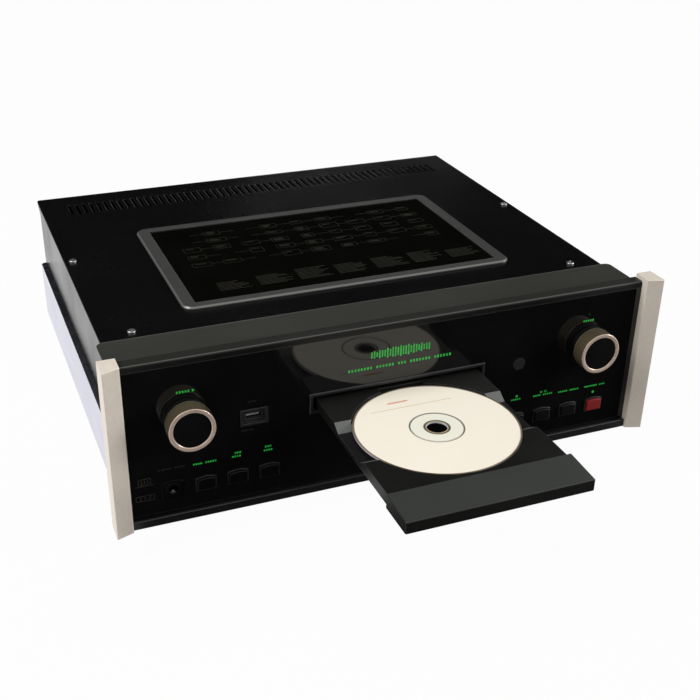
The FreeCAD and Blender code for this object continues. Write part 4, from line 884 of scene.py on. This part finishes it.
def level_bars():
    """A bar-graph motif over the tray's slot, tall in its centre."""
    slot_x, slot_z = middle_mm("tray_slot_trim")
    half_width = 23.4
    last = 22
    blocks = []
    for index in range(last + 1):
        x = slot_x + half_width * (2 * index / last - 1)
        swell = 0.5 + 0.5 * math.cos(math.tau * (index / last - 0.5))
        tall = 5.0 + 2.8 * swell + 1.4 * math.sin(index * 2.4)
        blocks.append((x, slot_z + 31.75, 1.15, tall))
    return blocks


def on_front(rows):
    """Blocks of ink on the glass, in metres, from (x, z, width, height) in millimetres."""
    middle = (MARK_BACK + MARK_FRONT) / 2
    return [((x * MM, middle, z * MM), (wide * MM, INK, tall * MM)) for x, z, wide, tall in rows]


def triangle(x, z, reach, half, turned=1):
    """A triangle that points to +x, or to -x when turned is -1."""
    foot = x - turned * reach / 2
    return [(foot, z - half), (foot, z + half), (x + turned * reach / 2, z)]


def bar(x, z, wide, tall):
    left, right = x - wide / 2, x + wide / 2
    low, high = z - tall / 2, z + tall / 2
    return [(left, low), (right, low), (right, high), (left, high)]


def skip_icon(x, z, turned):
    """Two triangles against a bar."""
    return [
        triangle(x - turned * 1.6, z, 2.0, 0.95, turned),
        triangle(x + turned * 0.4, z, 2.0, 0.95, turned),
        bar(x + turned * 1.8, z, 0.5, 1.9),
    ]


def panel_icons():
    """The usual transport signs over the buttons, and a pointer at each knob."""
    previous_x, button_z = middle_mm("button_previous")
    next_x, _ = middle_mm("button_next")
    stop_x, _ = middle_mm("button_stop")
    play_x, _ = middle_mm("button_play")
    input_x, knob_z = middle_mm("input_knob_band")
    level_x, _ = middle_mm("level_knob_band")
    icons = skip_icon(previous_x + 0.1, button_z + 20.2, -1)
    icons += skip_icon(next_x - 0.6, button_z + 20.5, 1)
    icons.append(bar(stop_x, button_z + 21.2, 1.7, 1.7))
    icons.append(triangle(play_x - 1.9, button_z + 20.7, 2.2, 1.0))
    for pause in (1.1, 2.5):
        icons.append(bar(play_x + pause, button_z + 20.7, 0.55, 1.8))
    icons.append(triangle(input_x + 6.4, knob_z + 21.3, 2.0, 1.1))
    foot = knob_z + 26.4
    icons.append([(level_x - 2.3, foot), (level_x - 1.6, foot), (level_x - 1.95, foot + 0.7)])
    return icons


def framed_marks():
    """Two small framed marks at the panel's left end, unlit."""
    jack_x, jack_z = middle_mm("headphone_jack")
    line = 0.6
    outlines = []
    for across, rise, wide, tall in ((-20.5, 10.9, 9.0, 4.4), (-20.7, -3.4, 13.6, 4.2)):
        x, z = jack_x + across, jack_z + rise
        for side in (-1, 1):
            outlines.append(bar(x, z + side * tall / 2, wide, line))
            outlines.append(bar(x + side * wide / 2, z, line, tall))
        for step in (-1, 0, 1):
            outlines.append(bar(x + step * wide / 4, z, 0.9, tall * 0.45))
    return outlines


def front_plates(name, outlines, finish):
    """Thin plates of ink on the glass, from outlines in millimetres."""
    metres = [[(x * MM, z * MM) for x, z in outline] for outline in outlines]
    keep_mesh(name, plates_mesh(name, metres, MARK_BACK, MARK_FRONT), "casing", finish)


front_plates("panel_icons", panel_icons(), GREEN_LIGHT)
stamp_blocks("panel_captions", on_front(captions(LIT_CAPTIONS)), GREEN_LIGHT, "casing", 0.12, 5)
stamp_blocks("panel_level_motif", on_front(level_bars()), GREEN_LIGHT, "casing")
stamp_blocks("panel_dim_captions", on_front(captions(DIM_CAPTIONS)), DIM_INK, "casing")
front_plates("panel_dim_marks", framed_marks(), DIM_INK)


# ---- inside the small socket


def socket_tongue():
    """A black tongue in the small socket, with four contacts at its front edge, pale and matte so that
    their colour paints their highlight.
    """
    low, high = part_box("usb_socket")
    middle = (low + high) / 2
    front = low.y + 0.0009
    deep = 0.008
    rear = front + deep / 2
    tongue = [
        ((middle.x, rear, middle.z + 0.0002), (0.0094, deep, 0.0016)),
        ((middle.x, rear + 0.0004, middle.z + 0.0014), (0.0080, deep, 0.0010)),
    ]
    pitch = 0.0024
    contacts = []
    for step in range(4):
        x = middle.x + pitch * (step - 1.5)
        contacts.append(((x, front + 0.0005, middle.z - 0.0004), (0.0022, 0.0014, 0.0013)))
    stamp_blocks("usb_tongue", tongue, FINISHES["matte_black"], "casing")
    stamp_blocks("usb_contacts", contacts, CONTACT_PAINTED_HIGHLIGHT, "casing")


def headphone_spring():
    """The spring contact that shows at the bottom of the headphone bore."""
    bore = next(m for m in frame["record"]["mounts"] if m["name"] == "headphone_bore")
    x, _, z = bore["pos_m"]
    spring = [
        ((x, GLASS_FACE + 0.0012, z - 0.0027), (0.0030, 0.0022, 0.0007)),
        ((x, GLASS_FACE + 0.0030, z - 0.0025), (0.0018, 0.0030, 0.0006)),
    ]
    stamp_blocks("headphone_spring", spring, SCREW_STEEL, "casing")


socket_tongue()
headphone_spring()


# ---- print on the cover's window


def window_diagram():
    """A generic signal diagram: boxes in rows, joined by lines, and rows of fine ruling."""
    draw = random.Random(11)
    margin = 0.012
    left, right = WINDOW_LOW.x + margin, WINDOW_HIGH.x - margin
    front, back = WINDOW_LOW.y + margin, WINDOW_HIGH.y - margin
    height = WINDOW_HIGH.z + INK / 2
    blocks = []

    def stroke(x0, y0, x1, y1, weight=0.0004):
        centre = ((x0 + x1) / 2, (y0 + y1) / 2, height)
        blocks.append((centre, (abs(x1 - x0) + weight, abs(y1 - y0) + weight, INK)))

    def open_box(x, y, wide, deep):
        x0, x1 = x - wide / 2, x + wide / 2
        y0, y1 = y - deep / 2, y + deep / 2
        stroke(x0, y0, x1, y0)
        stroke(x0, y1, x1, y1)
        stroke(x0, y0, x0, y1)
        stroke(x1, y0, x1, y1)

    columns, rows = 9, 5
    diagram_share = 0.62
    step_x = (right - left) / columns
    step_y = (back - front) * diagram_share / rows
    for row in range(rows):
        y = back - step_y * (row + 0.5)
        for column in range(columns):
            x = left + step_x * (column + 0.5)
            wide = step_x * draw.uniform(0.4, 0.66)
            deep = step_y * draw.uniform(0.36, 0.6)
            if draw.random() < 0.82:
                open_box(x, y, wide, deep)
                for line in range(draw.randint(1, 3)):
                    inset = deep * (0.25 - 0.22 * line)
                    stroke(x - wide * 0.32, y + inset, x + wide * draw.uniform(0.0, 0.3), y + inset, 0.0009)
            if column < columns - 1 and draw.random() < 0.85:
                stroke(x + wide / 2, y, x + step_x - wide * 0.4, y)
    blurbs = 7
    for column in range(blurbs):
        x = left + (column + 0.4) * (right - left) / blurbs
        for line in range(draw.randint(6, 10)):
            y = front + 0.0024 * line + 0.004
            stroke(x, y, x + draw.uniform(0.014, 0.028), y, 0.0008)
    return blocks


stamp_blocks("window_diagram", window_diagram(), FAINT_INK, "casing")


# ---- faint print on the disc


def disc_block(across, back, wide, deep):
    """A block of ink on the label side, placed from the disc's middle."""
    centre = (DISC_CENTRE.x + across, DISC_CENTRE.y + back, DISC_HIGH.z + INK / 2)
    return centre, (wide, deep, INK)


stamp_blocks("disc_ruled_line", [disc_block(-0.004, 0.0335, 0.064, 0.0007)], SAND_INK, "disc")
stamp_blocks("disc_short_bar", [disc_block(-0.012, 0.0415, 0.016, 0.0018)], ROSE_INK, "disc")


# ---- the back


def build_screw_heads():
    """Puts a shallow coned head, facing the back, on every point."""
    tree, given = new_stamp(
        "screw_heads",
        [("Head Radius", "NodeSocketFloat", 0.003), ("Head Height", "NodeSocketFloat", 0.001)],
    )
    head = tree.nodes.new("GeometryNodeMeshCone")
    head.inputs["Vertices"].default_value = 20
    feed(tree, head.inputs["Radius Top"], maths(tree, "MULTIPLY", given["Head Radius"], 0.72))
    feed(tree, head.inputs["Radius Bottom"], given["Head Radius"])
    feed(tree, head.inputs["Depth"], given["Head Height"])
    return end_stamp(tree, given, head.outputs["Mesh"], turn=(-math.pi / 2, 0.0, 0.0))


SCREW_HEADS = build_screw_heads()
PALE_INK = plain_print("pale_panel_ink", rgb(188, 188, 182), rgb(150, 150, 146), 0.5)
# Painted shade for the screws' cross recesses.
RECESS_PAINTED_SHADE = plain_print("screw_recess_painted_shade", rgb(12, 12, 12), rgb(6, 6, 6), 0.5)
RED_RING = surface(
    "red_insulator", rgb(150, 24, 22), rgb(126, 18, 18), roughness=0.36, grain_scale=2200.0,
    edge_radius=0.0002, dust=0.0,
)
PLATE_METAL = surface(
    "bare_plate_metal", rgb(150, 150, 148), rgb(126, 126, 124), roughness=0.34, metal=0.8,
    grain_scale=700.0, stretch=(0.05, 1.0, 1.0), grain_depth=0.000006, edge_radius=0.0002,
    edge_wear_and_highlight_colour=rgb(200, 200, 198), dust=0.02,
)


def rear_screw_places():
    """Along the panel's upper and lower edges, and two on each balanced socket's plate."""
    low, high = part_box("rear_panel")
    inset = 0.0095
    reach = high.x - inset
    places = []
    for step in range(-3, 4):
        for z in (low.z + 0.0055, high.z - inset):
            places.append((reach * step / 3, REAR_FACE, z))
    low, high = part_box("xlr_sockets")
    middle = (low.z + high.z) / 2
    plate_half = 0.013
    aside, rise = 0.0098, 0.0122
    for x in (low.x + plate_half, high.x - plate_half):
        places.append((x - aside, high.y, middle + rise))
        places.append((x + aside, high.y, middle - rise))
    return places


def rear_screws():
    """Heads with cross recesses, drawn as thin dark plates of painted shade."""
    tall = 0.0011
    long, thin, skin = 0.0030, 0.0006, 0.00006
    places = rear_screw_places()
    slots = []
    for x, y, z in places:
        for size in ((long, skin, thin), (thin, skin, long)):
            slots.append(((x, y + tall, z), size))
    source = bpy.data.meshes.new("rear_screw_points")
    source.from_pydata(places, [], [])
    values = {"Head Radius": 0.0030, "Head Height": tall, "Finish": SCREW_STEEL}
    keep_mesh("rear_screw_heads", grow(SCREW_HEADS, source, values), "casing")
    stamp_blocks("rear_screw_recess_shades", slots, RECESS_PAINTED_SHADE, "casing")


def phono_rings():
    """White and red rings at the foot of each phono socket, left and right in turn."""
    inner, outer = 0.0042, 0.0060
    for colour, finish, first in (("white", FINISHES["white_plastic"], 0), ("red", RED_RING, 1)):
        name = f"phono_rings_{colour}"
        rings = []
        for pin in PHONOS[first::2]:
            x, y, z = pin["pos_m"]
            foot = y - pin["dims"]["length_mm"] * MM / 2
            shoulder, top = foot + 0.0009, foot + 0.0013
            wall = [(inner, foot), (outer, foot), (outer, shoulder)]
            rings.append(((x, z), wall + [(outer - 0.0004, top), (inner, top)]))
        keep_mesh(name, turned_mesh(name, rings, 40), "casing", finish)


def group_frame(left, right, low, high):
    """Four thin lines round a group of sockets."""
    line = 0.5
    x, z = (left + right) / 2, (low + high) / 2
    wide, tall = right - left, high - low
    return [(x, low, wide, line), (x, high, wide, line), (left, z, line, tall), (right, z, line, tall)]


def rear_print():
    """Short dashes over the sockets and thin frames that group them, in millimetres."""
    tall, dash, rise = 1.6, (1.3, 0.9), 5.5
    first, last = PHONOS[0]["pos_m"], PHONOS[-1]["pos_m"]
    left, right, phono_z = first[0] / MM, last[0] / MM, first[2] / MM
    rows = []
    for k in range(3):
        x = (left + right) / 2 + 54.0 * (k - 1)
        rows += dashes(x - 9.0, x + 9.0, phono_z + 14.0, tall, dash, (3 + k,))
    low, high = (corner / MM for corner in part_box("xlr_sockets"))
    for x in (low.x + 13.0, high.x - 13.0):
        rows += dashes(x - 8.0, x + 8.0, high.z + rise, tall, dash, (4,))
    inlet_x, _ = middle_mm("power_inlet")
    inlet_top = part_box("power_inlet")[1].z / MM
    rows += dashes(inlet_x - 13.0, inlet_x + 13.0, inlet_top + rise, tall, dash, (5, 6))
    rows += group_frame(left - 16.0, right + 16.0, phono_z - 14.0, phono_z + 18.5)
    rows += group_frame(low.x - 9.0, high.x + 9.0, low.z - 6.5, high.z + 9.5)
    back = REAR_FACE + INK / 2
    return [((x * MM, back, z * MM), (wide * MM, INK, deep * MM)) for x, z, wide, deep in rows]


def bare_plate():
    """A small plate with clipped corners and nothing on it, over the phono sockets."""
    middle = (PHONOS[0]["pos_m"][0] + PHONOS[-1]["pos_m"][0]) / 2
    left, right = middle - 0.048, middle + 0.048
    panel_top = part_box("rear_panel")[1].z
    low, high = panel_top - 0.0409, panel_top - 0.0149
    clip = 0.002
    outline = [
        (left + clip, low),
        (right - clip, low),
        (right, low + clip),
        (right, high - clip),
        (right - clip, high),
        (left + clip, high),
        (left, high - clip),
        (left, low + clip),
    ]
    return plates_mesh("rear_bare_plate", [outline], REAR_FACE, REAR_FACE + 0.0004)


rear_screws()
phono_rings()
stamp_blocks("rear_print", rear_print(), PALE_INK, "casing")
keep_mesh("rear_bare_plate", bare_plate(), "casing", PLATE_METAL)


# ---- studio


def stage_plane(name, corners, finish):
    """A flat plane that belongs to the studio, not to the player."""
    mesh = bpy.data.meshes.new(name)
    mesh.from_pydata(corners, [], [(0, 1, 2, 3)])
    plane = add_object(name, mesh)
    put_finish(plane, finish)
    return plane


def seen_directly(tree):
    """1 for what the camera sees, straight or through a reflection or glass."""
    path = tree.nodes.new("ShaderNodeLightPath").outputs
    either = maths(tree, "MAXIMUM", path["Is Camera Ray"], path["Is Glossy Ray"])
    return maths(tree, "MAXIMUM", either, path["Is Transmission Ray"])


def two_views(tree, unseen, seen, share):
    """One shader for the light on the object and another, as far as share, for the camera."""
    both = tree.nodes.new("ShaderNodeMixShader")
    feed(tree, both.inputs["Fac"], maths(tree, "MULTIPLY", seen_directly(tree), share))
    feed(tree, both.inputs[1], unseen)
    feed(tree, both.inputs[2], seen)
    return both.outputs[0]


def pale_floor():
    """A grey floor for the light, nearly white to the eye, that still takes the shadow."""
    finish, tree, shader = new_finish("pale_floor")
    tone = stretch_range(tree, cloud(tree, object_place(tree), 3.0), 0.3, 0.7)
    grey = mix_colours(tree, tone, rgb(198, 198, 198), rgb(204, 204, 204))
    feed(tree, shader.inputs["Base Color"], grey)
    shader.inputs["Roughness"].default_value = 0.9
    shader.inputs["Specular IOR Level"].default_value = 0.0
    white = tree.nodes.new("ShaderNodeEmission").outputs[0]
    share_of_white = 0.965
    shown = two_views(tree, shader.outputs[0], white, share_of_white)
    feed(tree, tree.nodes["Material Output"].inputs["Surface"], shown)
    reach = 9
    corners = [(-reach, -reach, 0), (reach, -reach, 0), (reach, reach, 0), (-reach, reach, 0)]
    stage_plane("floor", corners, finish)


def card_black():
    finish, _, shader = new_finish("dark_card")
    shader.inputs["Base Color"].default_value = (0.004, 0.004, 0.004, 1.0)
    shader.inputs["Specular IOR Level"].default_value = 0.0
    return finish


CARD_BLACK = card_black()


def dark_card(name, corners):
    """A black studio card that only shows in reflections."""
    card = stage_plane(name, corners, CARD_BLACK)
    card.visible_camera = False
    card.visible_diffuse = False
    card.visible_transmission = False
    card.visible_shadow = False


def rear_card(name, left, right, low):
    """An upright dark card behind the player, from left to right and from low up."""
    back, top = 1.5, 4.0
    dark_card(name, [(left, back, low), (right, back, low), (right, back, top), (left, back, top)])


def white_glow(tree, strength):
    glow = tree.nodes.new("ShaderNodeBackground")
    glow.inputs["Color"].default_value = (1.0, 1.0, 1.0, 1.0)
    glow.inputs["Strength"].default_value = strength
    return glow.outputs[0]


def studio_world():
    """White to the eye and in reflections, and a soft fill for everything else."""
    world = bpy.data.worlds.new("studio")
    bpy.context.scene.world = world
    world.use_nodes = True
    tree = world.node_tree
    tree.nodes.clear()
    end = tree.nodes.new("ShaderNodeOutputWorld")
    both = two_views(tree, white_glow(tree, 0.3), white_glow(tree, 1.0), 1.0)
    feed(tree, end.inputs["Surface"], both)


def soft_light(name, spot, size, power):
    """A square lamp that looks at the middle of the player."""
    aim = (0.0, 0.0, 0.1)
    lamp = bpy.data.lights.new(name, "AREA")
    lamp.shape = "SQUARE"
    lamp.size = size
    lamp.energy = power
    holder = add_object(name, lamp)
    holder.location = spot
    holder.rotation_mode = "QUATERNION"
    holder.rotation_quaternion = (Vector(aim) - Vector(spot)).to_track_quat("-Z", "Y")


def set_camera():
    """A normal lens, in front of the player, above it and to its left."""
    lens = bpy.data.cameras.new("camera")
    lens.lens = 56.8
    lens.sensor_width = 36.0
    lens.shift_x = 0.0270
    lens.shift_y = 0.0189
    lens.clip_start = 0.01
    lens.clip_end = 50.0
    camera = add_object("camera", lens)
    right = Vector((0.93222, -0.36178, 0.00936))
    up = Vector((0.16360, 0.44436, 0.88078))
    back = Vector((-0.32281, -0.81955, 0.47343))
    turn = Matrix((right, up, back)).transposed().to_4x4()
    camera.matrix_world = Matrix.Translation((-0.31448, -0.76357, 0.50419)) @ turn
    bpy.context.scene.camera = camera


pale_floor()
floor_card_corners = ((-0.203, -1.9), (2.0, -1.9), (0.209, -0.112), (-0.203, -0.112))
dark_card("floor_card", [(x, y, 0.0008) for x, y in floor_card_corners])
rear_card("rear_left_card", -2.8, 0.36, 0.0)
rear_card("rear_middle_card", 0.36, 0.92, 0.36)
rear_card("rear_right_card", 0.92, 3.2, 0.0)
studio_world()
soft_light("key", (-1.7, 0.0, 1.9), 1.2, 50.0)
soft_light("fill", (2.4, -0.9, 0.9), 1.0, 50.0)
set_camera()
bpy.context.scene.view_settings.view_transform = "Standard"
